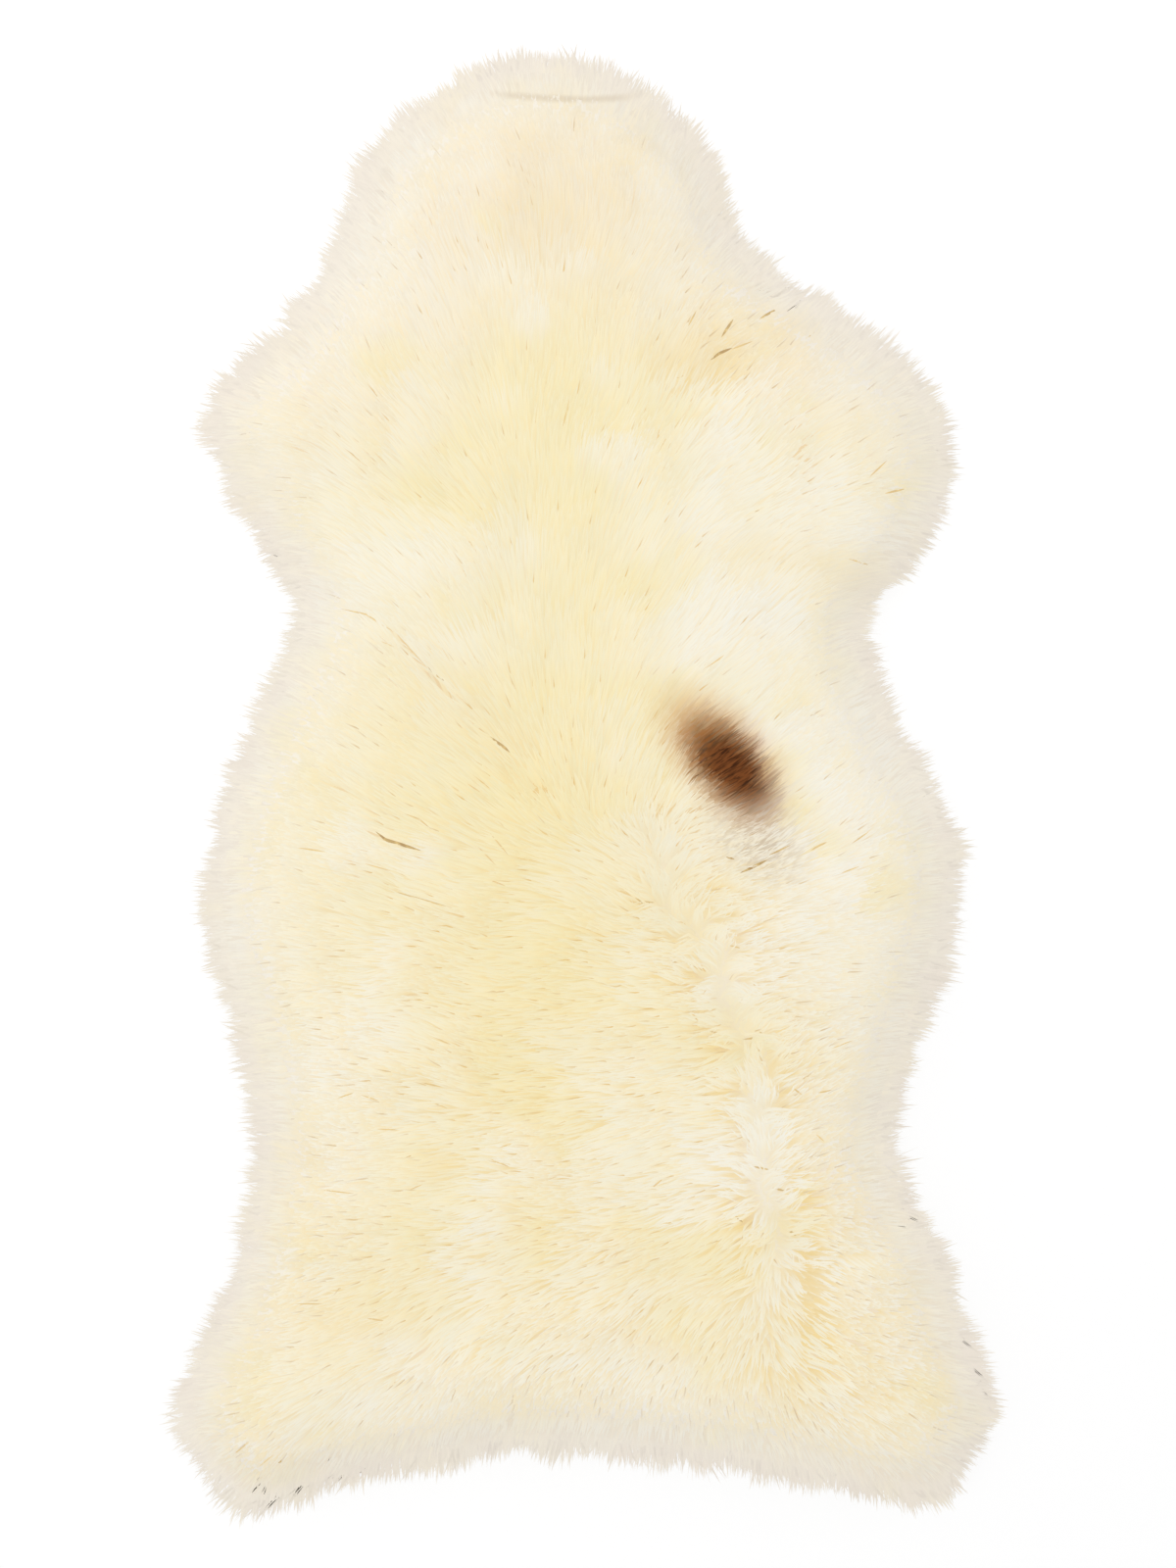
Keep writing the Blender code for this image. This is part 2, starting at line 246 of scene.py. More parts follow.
class Term:
    """An output socket. Its operators add a Math node, or a Vector Math node where a side is a vector."""

    def __init__(self, nodes, socket):
        self.nodes, self.socket = nodes, socket

    def __getitem__(self, output):
        return Term(self.nodes, self.socket.node.outputs[output])

    def __add__(self, other):
        return self.nodes.join("ADD", self, other)

    __radd__ = __add__

    def __sub__(self, other):
        return self.nodes.join("SUBTRACT", self, other)

    def __rsub__(self, other):
        return self.nodes.join("SUBTRACT", other, self)

    def __mul__(self, other):
        return self.nodes.join("MULTIPLY", self, other)

    __rmul__ = __mul__

    def __truediv__(self, other):
        return self.nodes.join("DIVIDE", self, other)

    def __rtruediv__(self, other):
        return self.nodes.join("DIVIDE", other, self)

    def __pow__(self, other):
        return self.nodes.join("POWER", self, other)

    def __gt__(self, other):
        return self.nodes.join("GREATER_THAN", self, other)

    def __lt__(self, other):
        return self.nodes.join("LESS_THAN", self, other)


def is_vector(side):
    return side.socket.type == "VECTOR" if isinstance(side, Term) else not np.isscalar(side)


class Nodes:
    """Adds nodes to one tree, and links them."""

    def __init__(self, tree):
        self.tree = tree
        tree.nodes.clear()

    def add(self, kind, settings=None, inputs=None):
        """A node of that type. Its settings are set first, then its sockets, by name or place."""
        node = self.tree.nodes.new(kind)
        for name, value in (settings or {}).items():
            setattr(node, name, value)
        for name, value in (inputs or {}).items():
            self.feed(node, name, value)
        shown = [socket for socket in node.outputs if socket.enabled]
        return Term(self, shown[0]) if shown else node

    def feed(self, node, name, value):
        if isinstance(name, int):
            socket = node.inputs[name]
        else:
            socket = next(s for s in node.inputs if s.enabled and name in (s.name, s.identifier))
        if isinstance(value, Term):
            self.tree.links.new(value.socket, socket)
        else:
            socket.default_value = value

    def join(self, operation, left, right):
        if not (is_vector(left) or is_vector(right)):
            return self.add("ShaderNodeMath", {"operation": operation}, {0: left, 1: right})
        if operation == "MULTIPLY" and not (is_vector(left) and is_vector(right)):
            vector, number = (left, right) if is_vector(left) else (right, left)
            return self.add("ShaderNodeVectorMath", {"operation": "SCALE"}, {0: vector, "Scale": number})
        return self.add("ShaderNodeVectorMath", {"operation": operation}, {0: left, 1: right})

    def math(self, operation, *values):
        return self.add("ShaderNodeMath", {"operation": operation}, dict(enumerate(values)))

    def vector(self, operation, *values):
        node = self.add("ShaderNodeVectorMath", {"operation": operation}, dict(enumerate(values)))
        return node["Value"] if operation in ("LENGTH", "DOT_PRODUCT", "DISTANCE") else node

    def mix(self, factor, first, second, blend="MIX"):
        """A colour between two colours."""
        return self.add(
            "ShaderNodeMix",
            {"data_type": "RGBA", "blend_type": blend},
            {"Factor": factor, "A": first, "B": second},
        )

    def ramp(self, value, low, high, out_low=0.0, out_high=1.0):
        """The value eased from one range to another, and held at the ends."""
        return self.add(
            "ShaderNodeMapRange",
            {"interpolation_type": "SMOOTHSTEP"},
            {"Value": value, "From Min": low, "From Max": high, "To Min": out_low, "To Max": out_high},
        )

    def noise(self, place, scale, detail=2.0, roughness=0.5):
        return self.add(
            "ShaderNodeTexNoise",
            inputs={"Vector": place, "Scale": scale, "Detail": detail, "Roughness": roughness},
        )


def rgba(colour):
    return (*colour, 1.0)


# ---------------------------------------------------------------- sizes and colours


def size(name, description, default):
    return FloatProperty(
        name=name, description=description, default=default, unit="LENGTH", precision=4, min=0
    )


def share(name, description, default):
    return FloatProperty(
        name=name, description=description, default=default, subtype="FACTOR", min=0, max=1
    )


def colour(name, description, default):
    return FloatVectorProperty(
        name=name, description=description, default=default, subtype="COLOR", min=0, max=1
    )


class WoolSizes(bpy.types.PropertyGroup):
    length: size("Length", "Length of a wisp over the back", 0.034)
    rim_length: size("Rim length", "Length of a wisp at the rim", 0.034)
    breadth: size("Breadth", "Half the breadth of a wisp over the back, near its root", 0.0013)
    rim_breadth: size("Rim breadth", "Half the breadth of a wisp at the rim, near its root", 0.00060)
    loft: size("Loft", "How high the wisps rise over the fleece", 0.0007)
    spacing: size("Spacing", "Least distance between two wisps' roots", 0.00170)
    rim_spacing: size("Rim spacing", "Least distance between two roots at the rim", 0.00150)
    curl_length: size("Curl length", "Length of a curly wisp", 0.026)
    curl_breadth: size("Curl breadth", "Half the breadth of a curly wisp, near its root", 0.0007)
    curl_spacing: size("Curl spacing", "Least distance between two curly wisps' roots", 0.0020)
    # Slit shade wisps: golden wisps of painted shadow, for the shaded gaps between tufts.
    slit_shade_length: size("Slit shade length", "Length of a golden wisp", 0.020)
    slit_shade_breadth: size("Slit shade breadth", "Half the breadth of a golden wisp", 0.00075)
    slit_shade_spacing: size("Slit shade spacing", "Least distance between two golden wisps' roots", 0.0064)
    tuft_spacing: size("Tuft spacing", "Least distance between two tufts", 0.0085)
    wave: size("Wave", "How far a wisp waves to its sides", 0.0014)
    tuft_pull: share("Tuft pull", "How far the wisps of a tuft run together", 0.85)


class WoolColours(bpy.types.PropertyGroup):
    cream: colour("Cream", "Most of the wool", (0.90, 0.835, 0.63))
    pale: colour("Pale", "Wool on the flanks, and tips", (0.905, 0.88, 0.79))
    # Painted shade: the greyer, darker wool at the rim stands in for the shade of the wool at its edge.
    rim: colour("Rim", "Wool at the rim", (0.815, 0.745, 0.655))
    yellow: colour("Yellow", "Wool along the back", (0.885, 0.78, 0.455))
    ochre: colour("Ochre", "Stained wool", (0.875, 0.71, 0.37))
    # Root is partly the wool's own yellower tone near the skin and partly painted shade in the gaps between
    # wisps.
    root: colour("Root", "A wisp near its root", (0.86, 0.65, 0.29))
    # Deep is partly the wool's own yellower tone near the skin and partly painted shade in the gaps between
    # wisps.
    deep_tone_and_shade: colour("Deep", "The fleece below the wisps", (0.78, 0.51, 0.17))
    # Golden and umber are painted shadow: the colours of the slits.
    golden: colour("Golden", "The palest slits", (0.76, 0.57, 0.30))
    umber: colour("Umber", "The darkest slits", (0.40, 0.26, 0.11))
    blush: colour("Blush", "Wool on the neck and the shoulders", (0.84, 0.70, 0.52))
    brown: colour("Brown", "Middle of the dark patch", (0.050, 0.016, 0.005))
    russet: colour("Russet", "Streaks in the dark patch", (0.18, 0.058, 0.016))
    tan: colour("Tan", "Edge of the dark patch", (0.56, 0.24, 0.055))
    # Grey is also painted shade: in the neck crease and in the slit shade wisps on the flanks.
    grey: colour("Grey", "Wool below the dark patch", (0.62, 0.51, 0.37))
    suede: colour("Suede", "The hide's skin side", (0.70, 0.56, 0.38))


class HideSizes(bpy.types.PropertyGroup):
    thickness: size("Thickness", "Thickness of the tanned hide", 0.002)
    inset: size("Inset", "How far the hide's edge lies inside the fleece's foot", 0.018)


class StageSettings(bpy.types.PropertyGroup):
    floor: colour("Floor", "The floor that the rug lies on", (0.93, 0.93, 0.93))
    daylight: FloatProperty(name="Daylight", description="Strength of the light from all round", default=1.0)
    lamp: FloatProperty(name="Lamp", description="Strength of the soft lamp, in watts", default=16)


class SheepskinSettings(bpy.types.PropertyGroup):
    wool: PointerProperty(type=WoolSizes)
    colours: PointerProperty(type=WoolColours)
    hide: PointerProperty(type=HideSizes)
    stage: PointerProperty(type=StageSettings)


def settings():
    return bpy.context.scene.sheepskin


# ---------------------------------------------------------------- materials

# Patches of other wool: centre and size in millimetres, turn in degrees, strength, and softness of the edge.
Patch = namedtuple("Patch", "name colour x y long wide turn strength soft")
PATCHES = (
    Patch("spine", "yellow", -10, 130, 330, 70, 90, 0.75, 0.9),
    Patch("left shoulder", "yellow", -100, 250, 140, 90, 30, 0.45, 0.9),
    Patch("right shoulder", "ochre", 104, 297, 72, 28, 12, 0.75, 0.9),
    Patch("shoulder stain", "ochre", 72, 281, 26, 18, 0, 0.70, 0.9),
    Patch("neck", "blush", -20, 415, 140, 110, 0, 0.60, 0.9),
    Patch("left shoulder rim", "blush", -160, 290, 110, 80, 30, 0.35, 0.9),
    Patch("right shoulder rim", "blush", 150, 300, 110, 70, -30, 0.35, 0.9),
    Patch("right elbow", "ochre", 150, 147, 80, 24, -5, 0.45, 0.9),
    Patch("left arm", "ochre", -150, 62, 62, 30, -35, 0.25, 0.9),
    Patch("belly", "yellow", -15, -110, 190, 110, -30, 0.75, 0.9),
    Patch("left flank", "yellow", -110, 20, 130, 70, -40, 0.45, 0.9),
    Patch("loin", "yellow", -30, -330, 210, 110, 0, 0.45, 0.9),
    Patch("left stain", "ochre", -184, -262, 26, 12, 0, 0.70, 0.9),
    Patch("middle stain", "ochre", -78, -266, 18, 14, 0, 0.60, 0.9),
    Patch("left rump", "ochre", -150, -376, 60, 30, 0, 0.38, 0.9),
)


def measured(nodes, place, x, y, long, wide, turn):
    """The place as seen from a point in plan, in lengths and widths along a turned line."""
    inside = nodes.add(
        "ShaderNodeMapping",
        {"vector_type": "TEXTURE"},
        {
            "Vector": place,
            "Location": (x * MM, y * MM, 0),
            "Rotation": (0, 0, math.radians(turn)),
            "Scale": (long * MM, wide * MM, 1),
        },
    )
    return nodes.vector("MULTIPLY", inside, (1, 1, 0))


def patch_mask(nodes, place, patch):
    """The patch's strength in its middle and 0 outside it."""
    far = nodes.vector("LENGTH", measured(nodes, place, patch.x, patch.y, patch.long, patch.wide, patch.turn))
    return nodes.ramp(far, 1 + patch.soft / 2, 1 - patch.soft, 0.0, patch.strength)


def fleece_colour(nodes, place):
    """The wool's colour by the place where it grows: creams and stains."""
    colours = settings().colours
    drift = nodes.noise(place, 9.0, 3.0)
    warp = (nodes.noise(place, 30.0, 3.0)["Color"] - (0.5, 0.5, 0.5)) * 0.03
    warped = place + warp
    base = nodes.mix(nodes.ramp(drift, 0.38, 0.66), rgba(colours.cream), rgba(colours.pale))
    for patch in PATCHES:
        base = nodes.mix(patch_mask(nodes, warped, patch), base, rgba(getattr(colours, patch.colour)))
    cloud = nodes.noise(warped + (7.0, 3.0, 0.0), 15.0, 3.0)
    base = nodes.mix(nodes.ramp(cloud, 0.52, 0.70, 0.0, 0.75), base, rgba(colours.yellow))
    return nodes.mix(nodes.ramp(cloud, 0.47, 0.30, 0.0, 0.55), base, rgba(colours.pale))


def paler_flanks_and_rim_shade(nodes, base):
    """The base colour, paler towards the flanks, and pinkish grey at the rim as painted shade."""
    colours = settings().colours
    place = nodes.add("ShaderNodeTexCoord")["Object"]
    patchy = nodes.ramp(nodes.noise(place, 26.0, 3.0), 0.36, 0.62, 0.45, 1.0)
    paler = nodes.mix(attribute(nodes, "flank")["Fac"] * patchy * 0.80, base, rgba(colours.pale))
    return nodes.mix(attribute(nodes, "rim")["Fac"] * (0.55 + 0.40 * patchy), paler, rgba(colours.rim))


def neck_crease_shade(nodes, base):
    """The soft crease across the neck: painted shade, a shallow curve of olive colour, fading out at its
    ends.
    """
    place = nodes.add("ShaderNodeSeparateXYZ", inputs={"Vector": nodes.add("ShaderNodeTexCoord")["Object"]})
    aside = place["X"] - CREASE_MIDDLE[0] * MM
    off = nodes.math("ABSOLUTE", place["Y"] - CREASE_MIDDLE[1] * MM - aside * aside * CREASE_BEND)
    ends = nodes.ramp(nodes.math("ABSOLUTE", aside), CREASE_HALF * MM, 0.5 * CREASE_HALF * MM)
    crease_shade = nodes.ramp(off, CREASE_WIDE * MM, 0.0) * ends * CREASE_SHADE
    return nodes.mix(crease_shade, base, rgba(settings().colours.grey))


PATCH_STREAK = (11, 2.0, 42)  # the dark patch's streaks: long and wide in millimetres, and turned in degrees
# Painted shade: the colours of the fleece under the wool and of the slit shade wisps are darkened by this
# factor.
PAINTED_SHADE_FACTOR = (0.94, 0.94, 0.94, 1.0)  # what the fleece's and the stained wisps' colours are multiplied by


def partway(nodes, root):
    """A place between a wisp's root and the point that is shaded, so that a patch fades along its wisps."""
    here = nodes.add("ShaderNodeTexCoord")["Object"]
    return root * 0.4 + here * 0.6


def dark_patch(nodes, place, base, own):
    """The dark patch on the right of the back, tan round its edge, with grey wool below."""
    colours = settings().colours
    ragged = place + (nodes.noise(place, 130.0, 2.0)["Color"] - (0.5, 0.5, 0.5)) * 0.008
    grey = Patch("grey tail", "grey", 120, -38, 42, 28, -50, 1.0, 0.90)
    tan = Patch("tan edge", "tan", 96, 14, 53, 30, -48, 1.0, 0.80)
    brown = Patch("brown middle", "brown", 101, 8, 42, 23, -50, 1.0, 0.70)
    streaks = nodes.noise(measured(nodes, place, 0, 0, *PATCH_STREAK), 1.0, 2.0)
    thin = nodes.ramp(streaks + 0.12 * own, 0.50, 0.68)
    base = nodes.mix(patch_mask(nodes, ragged, grey) * (0.15 + 0.75 * thin), base, rgba(colours.grey))
    base = nodes.mix(patch_mask(nodes, ragged, tan) * (0.75 + 0.25 * own), base, rgba(colours.tan))
    streaky = nodes.ramp(streaks + 0.2 * own, 0.45, 0.75)
    streaked = nodes.mix(streaky, rgba(colours.brown), rgba(colours.russet))
    return nodes.mix(patch_mask(nodes, ragged, brown), base, streaked)


def new_material(name):
    material = bpy.data.materials.new(name)
    material.use_nodes = True
    return material, Nodes(material.node_tree)


def finish_material(nodes, sockets):
    shader = nodes.add("ShaderNodeBsdfPrincipled", inputs=sockets)
    nodes.add("ShaderNodeOutputMaterial", inputs={"Surface": shader})


def attribute(nodes, name):
    return nodes.add("ShaderNodeAttribute", {"attribute_name": name})


def wool_material():
    """Wisps: pale tips on yellower roots, each wisp a little different; the roots' colour is partly painted
    shade.
    """
    material, nodes = new_material("wool wisps")
    colours = settings().colours
    root = attribute(nodes, "root")["Vector"]
    wisp = nodes.add("ShaderNodeSeparateXYZ", inputs={"Vector": attribute(nodes, "wisp")["Vector"]})
    along, own, tuft = wisp["X"], wisp["Y"], wisp["Z"]
    coat = paler_flanks_and_rim_shade(nodes, fleece_colour(nodes, root))
    inner = 1.0 - attribute(nodes, "rim")["Fac"]
    tufted, ruffled = attribute(nodes, "tufted")["Fac"], attribute(nodes, "ruffled")["Fac"]
    # Partly painted shade: the root colour, stronger where the wool is tufted, stands in for the shade in the
    # gaps as well as the wool's yellower tone.
    rooted = nodes.ramp(along, *ROOT_FADE, 0.0, 0.95) * inner * (0.30 + 0.75 * tufted)
    coat = nodes.mix(rooted * (1.0 - 0.70 * ruffled), coat, rgba(colours.root))
    smooth = 1.0 - 0.85 * ruffled
    coat = nodes.mix(nodes.ramp(along, 0.6, 1.0, 0.0, 0.25) * inner * smooth, coat, rgba(colours.pale))
    coat = nodes.mix(0.22 * own * tuft * inner, coat, rgba(colours.ochre))
    coat = neck_crease_shade(nodes, coat)
    coat = dark_patch(nodes, partway(nodes, root), coat, own)
    brightness = 0.905 + 0.035 * own + 0.030 * tuft
    shade = nodes.add("ShaderNodeCombineXYZ", inputs={0: brightness, 1: brightness, 2: brightness})
    coat = nodes.mix(1.0, coat, shade, "MULTIPLY")
    finish_material(nodes, {"Base Color": coat, "Roughness": 0.8, "Specular IOR Level": 0.05})
    return material


def slit_shade_material():
    """Golden and tan wisps that fade into the cream wool at their tips: painted shadow for the shaded gaps
    between tufts.
    """
    material, nodes = new_material("slit shade wisps")
    colours = settings().colours
    root = attribute(nodes, "root")["Vector"]
    wisp = nodes.add("ShaderNodeSeparateXYZ", inputs={"Vector": attribute(nodes, "wisp")["Vector"]})
    along, own, tuft = wisp["X"], wisp["Y"], wisp["Z"]
    coat = fleece_colour(nodes, root)
    # Painted shadow: the golden colour, grey on the flanks, stands in for the shade in the gaps between
    # tufts.
    golden = nodes.mix(tuft, rgba(colours.deep_tone_and_shade), rgba(colours.golden))
    golden = nodes.mix(attribute(nodes, "flank")["Fac"] * 0.8, golden, rgba(colours.grey))
    inner = 1.0 - attribute(nodes, "rim")["Fac"]
    strength = (0.20 + 0.75 * own) * nodes.ramp(along, 1.0, 0.45) * nodes.ramp(along, 0.0, 0.25) * inner
    coat = nodes.mix(strength, paler_flanks_and_rim_shade(nodes, coat), golden)
    coat = dark_patch(nodes, partway(nodes, root), coat, own)
    coat = nodes.mix(1.0, coat, PAINTED_SHADE_FACTOR, "MULTIPLY")
    finish_material(nodes, {"Base Color": coat, "Roughness": 0.8, "Specular IOR Level": 0.05})
    return material


def notch_material():
    """The slits that stand out: painted shadow, golden to umber, mottled along them."""
    material, nodes = new_material("notches")
    colours = settings().colours
    place = nodes.add("ShaderNodeTexCoord")["Object"]
    dark = attribute(nodes, "dark")["Fac"]
    mottle = nodes.noise(place, 260.0, 2.0)
    coat = nodes.mix(nodes.ramp(dark, 0.25, 1.0), rgba(colours.golden), rgba(colours.umber))
    coat = nodes.mix(nodes.ramp(mottle, 0.35, 0.75, 0.0, 0.55), coat, rgba(colours.root))
    finish_material(nodes, {"Base Color": coat, "Roughness": 0.85, "Specular IOR Level": 0.05})
    return material


def fleece_material():
    """The fleece between the wisps: the wool's colours, deeper and streaked; the deeper colour is partly
    painted shade.
    """
    material, nodes = new_material("fleece")
    colours = settings().colours
    place = nodes.add("ShaderNodeTexCoord")["Object"]
    coat = fleece_colour(nodes, place)
    inner = nodes.ramp(attribute(nodes, "rim")["Fac"], 0.40, 0.10)
    # Partly painted shade: how far the fleece takes the deep colour, less where the wool is ruffled.
    depth = (0.65 - 0.45 * attribute(nodes, "ruffled")["Fac"]) * inner
    coat = paler_flanks_and_rim_shade(nodes, nodes.mix(depth, coat, rgba(colours.deep_tone_and_shade)))
    streaks = nodes.noise(place, 420.0, 2.0)
    coat = dark_patch(nodes, place, coat, streaks)
    coat = nodes.mix(1.0, coat, PAINTED_SHADE_FACTOR, "MULTIPLY")
    bump = nodes.add("ShaderNodeBump", inputs={"Strength": 0.5, "Distance": 0.001, "Height": streaks})
    finish_material(nodes, {"Base Color": coat, "Roughness": 0.85, "Normal": bump})
    return material


def suede_material():
    """The hide's skin side: undyed suede, mottled, with a fine nap."""
    material, nodes = new_material("suede")
    colours = settings().colours
    place = nodes.add("ShaderNodeTexCoord")["Object"]
    mottle = nodes.noise(place, 14.0, 5.0, 0.6)
    grain = nodes.noise(place, 900.0, 2.0)
    coat = nodes.mix(nodes.ramp(mottle, 0.3, 0.7), rgba(colours.suede), rgba(colours.cream))
    coat = nodes.mix(0.25 * grain, coat, rgba(colours.tan))
    bump = nodes.add("ShaderNodeBump", inputs={"Strength": 0.4, "Distance": 0.0004, "Height": grain})
    finish_material(nodes, {"Base Color": coat, "Roughness": 0.95, "Normal": bump})
    return material


def floor_material():
    material, nodes = new_material("floor")
    place = nodes.add("ShaderNodeTexCoord")["Object"]
    pale = rgba(settings().stage.floor)
    faint = nodes.mix(0.02 * nodes.noise(place, 3.0), pale, (0.8, 0.8, 0.8, 1.0))
    finish_material(nodes, {"Base Color": faint, "Roughness": 0.8})
    return material


# ---------------------------------------------------------------- the fleece under the wool

FLEECE_DEPTH = 0.0040  # how far the fleece lies under the solid's top
OUTWARD_EVENED = 7  # neighbours each way over which the directions away from the rug are evened

# The thin skirt under the wool at the rim, ring by ring: how far out past the solid's rim, and how high.
# The last ring is the fleece's foot, which sinks a little into the hide.
SkirtRing = namedtuple("SkirtRing", "out high")
SKIRT = (
    SkirtRing(0.005, 0.0078),
    SkirtRing(0.010, 0.0058),
    SkirtRing(0.014, 0.0034),
    SkirtRing(0.012, 0.0016),
)
LEAST_HIGH = 0.0078  # the fleece's lowest place inside the skirt
SWIRL_SIZE = 0.055  # over what length the wool's lie swirls
SWIRL = 0.30  # radians, about the most that it turns there
SEED = 5


def top_of_the_solid():
    """The solid's top without its rim locks, as an open mesh."""
    bm = bmesh.new()
    bm.from_mesh(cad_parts[SKIN_SOLID].data)
    bmesh.ops.remove_doubles(bm, verts=bm.verts, dist=WELD)
    upright = [e for e in bm.edges if (e.verts[0].co.xy - e.verts[1].co.xy).length < WELD]
    bends = min(e.calc_length() for e in upright)
    rim = {max(e.verts, key=lambda v: v.co.z) for e in upright if e.calc_length() > 1.3 * bends}
    outside = [v for v in bm.verts if v not in rim and v.co.z < 1.3 * bends]
    bmesh.ops.delete(bm, geom=outside, context="VERTS")
    bmesh.ops.join_triangles(
        bm, faces=bm.faces, angle_face_threshold=math.pi, angle_shape_threshold=math.pi
    )
    return bm


def boundary_of(bm):
    """The mesh's boundary points, in order round it."""
    edges = [e for e in bm.edges if e.is_boundary]
    start = edges[0].verts[0]
    loop, here, came = [start], start, None
    while True:
        edge = next(e for e in here.link_edges if e.is_boundary and e is not came)
        here, came = edge.other_vert(here), edge
        if here is start:
            return loop
        loop.append(here)


def subdivided(bm, levels):
    """The mesh again, rounded by subdivision."""
    mesh = bpy.data.meshes.new("rounding")
    bm.to_mesh(mesh)
    bm.free()
    piece = bpy.data.objects.new("rounding", mesh)
    bpy.context.scene.collection.objects.link(piece)
    rounding = piece.modifiers.new("Rounding", "SUBSURF")
    rounding.levels = rounding.render_levels = levels
    rounding.boundary_smooth = "ALL"
    rounded = mesh_of(piece)
    bpy.data.objects.remove(piece)
    return rounded


def mesh_of(piece):
    """The piece's mesh with its modifiers applied."""
    bpy.context.view_layer.update()
    depsgraph = bpy.context.evaluated_depsgraph_get()
    evaluated = piece.evaluated_get(depsgraph)
    return bpy.data.meshes.new_from_object(evaluated, preserve_all_data_layers=True, depsgraph=depsgraph)


def fleece_mesh():
    """The closed fleece: the solid's rounded top let down by the wool's depth, a skirt and a flat foot."""
    bm = bmesh.new()
    bm.from_mesh(subdivided(top_of_the_solid(), 1))
    rim = boundary_of(bm)
    away = outward_of(rim)
    for vert in bm.verts:
        vert.co.z = max(vert.co.z - FLEECE_DEPTH, LEAST_HIGH)
    ring = rim
    for out, high in SKIRT:
        further = []
        for vert, direction in zip(rim, away):
            place = vert.co + direction * out
            further.append(bm.verts.new((place.x, place.y, high)))
        for n in range(len(rim)):
            after = (n + 1) % len(rim)
            bm.faces.new((ring[n], ring[after], further[after], further[n]))
        ring = further
    bm.faces.new(ring)
    bmesh.ops.recalc_face_normals(bm, faces=bm.faces)
    mesh = bpy.data.meshes.new(FLEECE)
    bm.to_mesh(mesh)
    bm.free()
    mesh.shade_smooth()
    return mesh


def outward_of(loop):
    """The horizontal direction away from the rug at each point of a loop, evened over its neighbours."""
    points = np.array([vert.co.xy for vert in loop])
    along = sum(
        np.roll(points, -n, axis=0) - np.roll(points, n, axis=0) for n in range(1, OUTWARD_EVENED + 1)
    )
    after = np.roll(points, -1, axis=0)
    turn = np.sign(np.sum(points[:, 0] * after[:, 1] - points[:, 1] * after[:, 0]))
    away = np.stack([along[:, 1], -along[:, 0]], axis=1) * turn
    away /= np.linalg.norm(away, axis=1)[:, None]
    return [Vector((x, y, 0)) for x, y in away]


RIM_REACH = 0.030  # how far in from the fleece's foot its wisps turn outward and droop
RIM_TURN = 0.75  # how far they turn outward there: 1 is straight out
FLANK_REACH = 0.080  # how far in the wool is paler
PAST_FOOT = 0.019  # how far the wisps reach past the fleece's foot
RAGGED = 0.55  # how much that reach varies round the rug, and over what length
RAGGED_SIZE = 0.026


def foot_of(mesh):
    """The fleece's foot: its points in order round it, and the directions away from it."""
    foot = max(mesh.polygons, key=lambda face: len(face.vertices))
    points = [mesh.vertices[n] for n in foot.vertices]
    return np.array([point.co.xy for point in points]), np.array([way.xy for way in outward_of(points)])


def turned(ways, angles):
    """Horizontal directions, turned to the left by an angle each."""
    cos, sin = np.cos(angles), np.sin(angles)
    return np.stack([ways[:, 0] * cos - ways[:, 1] * sin, ways[:, 0] * sin + ways[:, 1] * cos], axis=1)


def add_fields(mesh):
    """The wool's lie, tufts, ruffles and nearness to the rim, on every point of the fleece."""
    plan = np.array([vert.co.xy for vert in mesh.vertices])
    foot, away = foot_of(mesh)
    tree = kdtree.KDTree(len(foot))
    for n, (x, y) in enumerate(foot):
        tree.insert((x, y, 0), n)
    tree.balance()
    nearest = [tree.find((x, y, 0)) for x, y in plan]
    inward = np.array([found[2] for found in nearest])
    out = away[[found[1] for found in nearest]]

    lie = lie_at(plan)
    clear = np.linalg.norm(lie, axis=1)
    swirl = np.array([noise.noise(Vector((x, y, 0)) / SWIRL_SIZE) for x, y in plan]) * SWIRL
    lie = turned(lie, swirl) / np.maximum(clear, 0.05)[:, None]
    rim = np.exp(-((inward / RIM_REACH) ** 2))
    lie = lie * (1 - RIM_TURN * rim[:, None]) + out * RIM_TURN * rim[:, None]
    for slit in SLITS:
        points, towards = along_path(slit.path, SLIT_STEP)
        far = np.linalg.norm(plan[:, None, :] - points, axis=-1)
        near, at = far.min(axis=1), far.argmin(axis=1)
        way = towards[at] * np.sign(np.sum(towards[at] * lie, axis=1))[:, None]
        pull = 2.5 * np.exp(-((near / SLIT_COMBED) ** 2))[:, None]
        lie = lie + way * pull
    lie /= np.linalg.norm(lie, axis=1)[:, None]
    store(mesh, "lie", "FLOAT_VECTOR", np.concatenate([lie, np.zeros((len(plan), 1))], axis=1))
    store(mesh, "tufted", "FLOAT", zone_amount(plan, TUFTED_ZONES, SILKY))
    store(mesh, "ruffled", "FLOAT", np.clip((0.80 - clear) / 0.5, 0, 1) * (1 - rim))
    store(mesh, "rim", "FLOAT", rim)
    store(mesh, "flank", "FLOAT", np.exp(-((inward / FLANK_REACH) ** 2)))
    uneven = np.array([noise.noise(Vector((x, y, 0.5)) / RAGGED_SIZE) for x, y in plan]) * RAGGED
    store(mesh, "room", "FLOAT", inward + PAST_FOOT * (1 + uneven))


SLIT_STEP = 0.008  # between the places that make up a named parting
SLIT_COMBED = 0.012  # how far from a named parting the wool lies along it
SLIT_BAND = 0.008  # the wool that a slit pushes aside, on each side of it


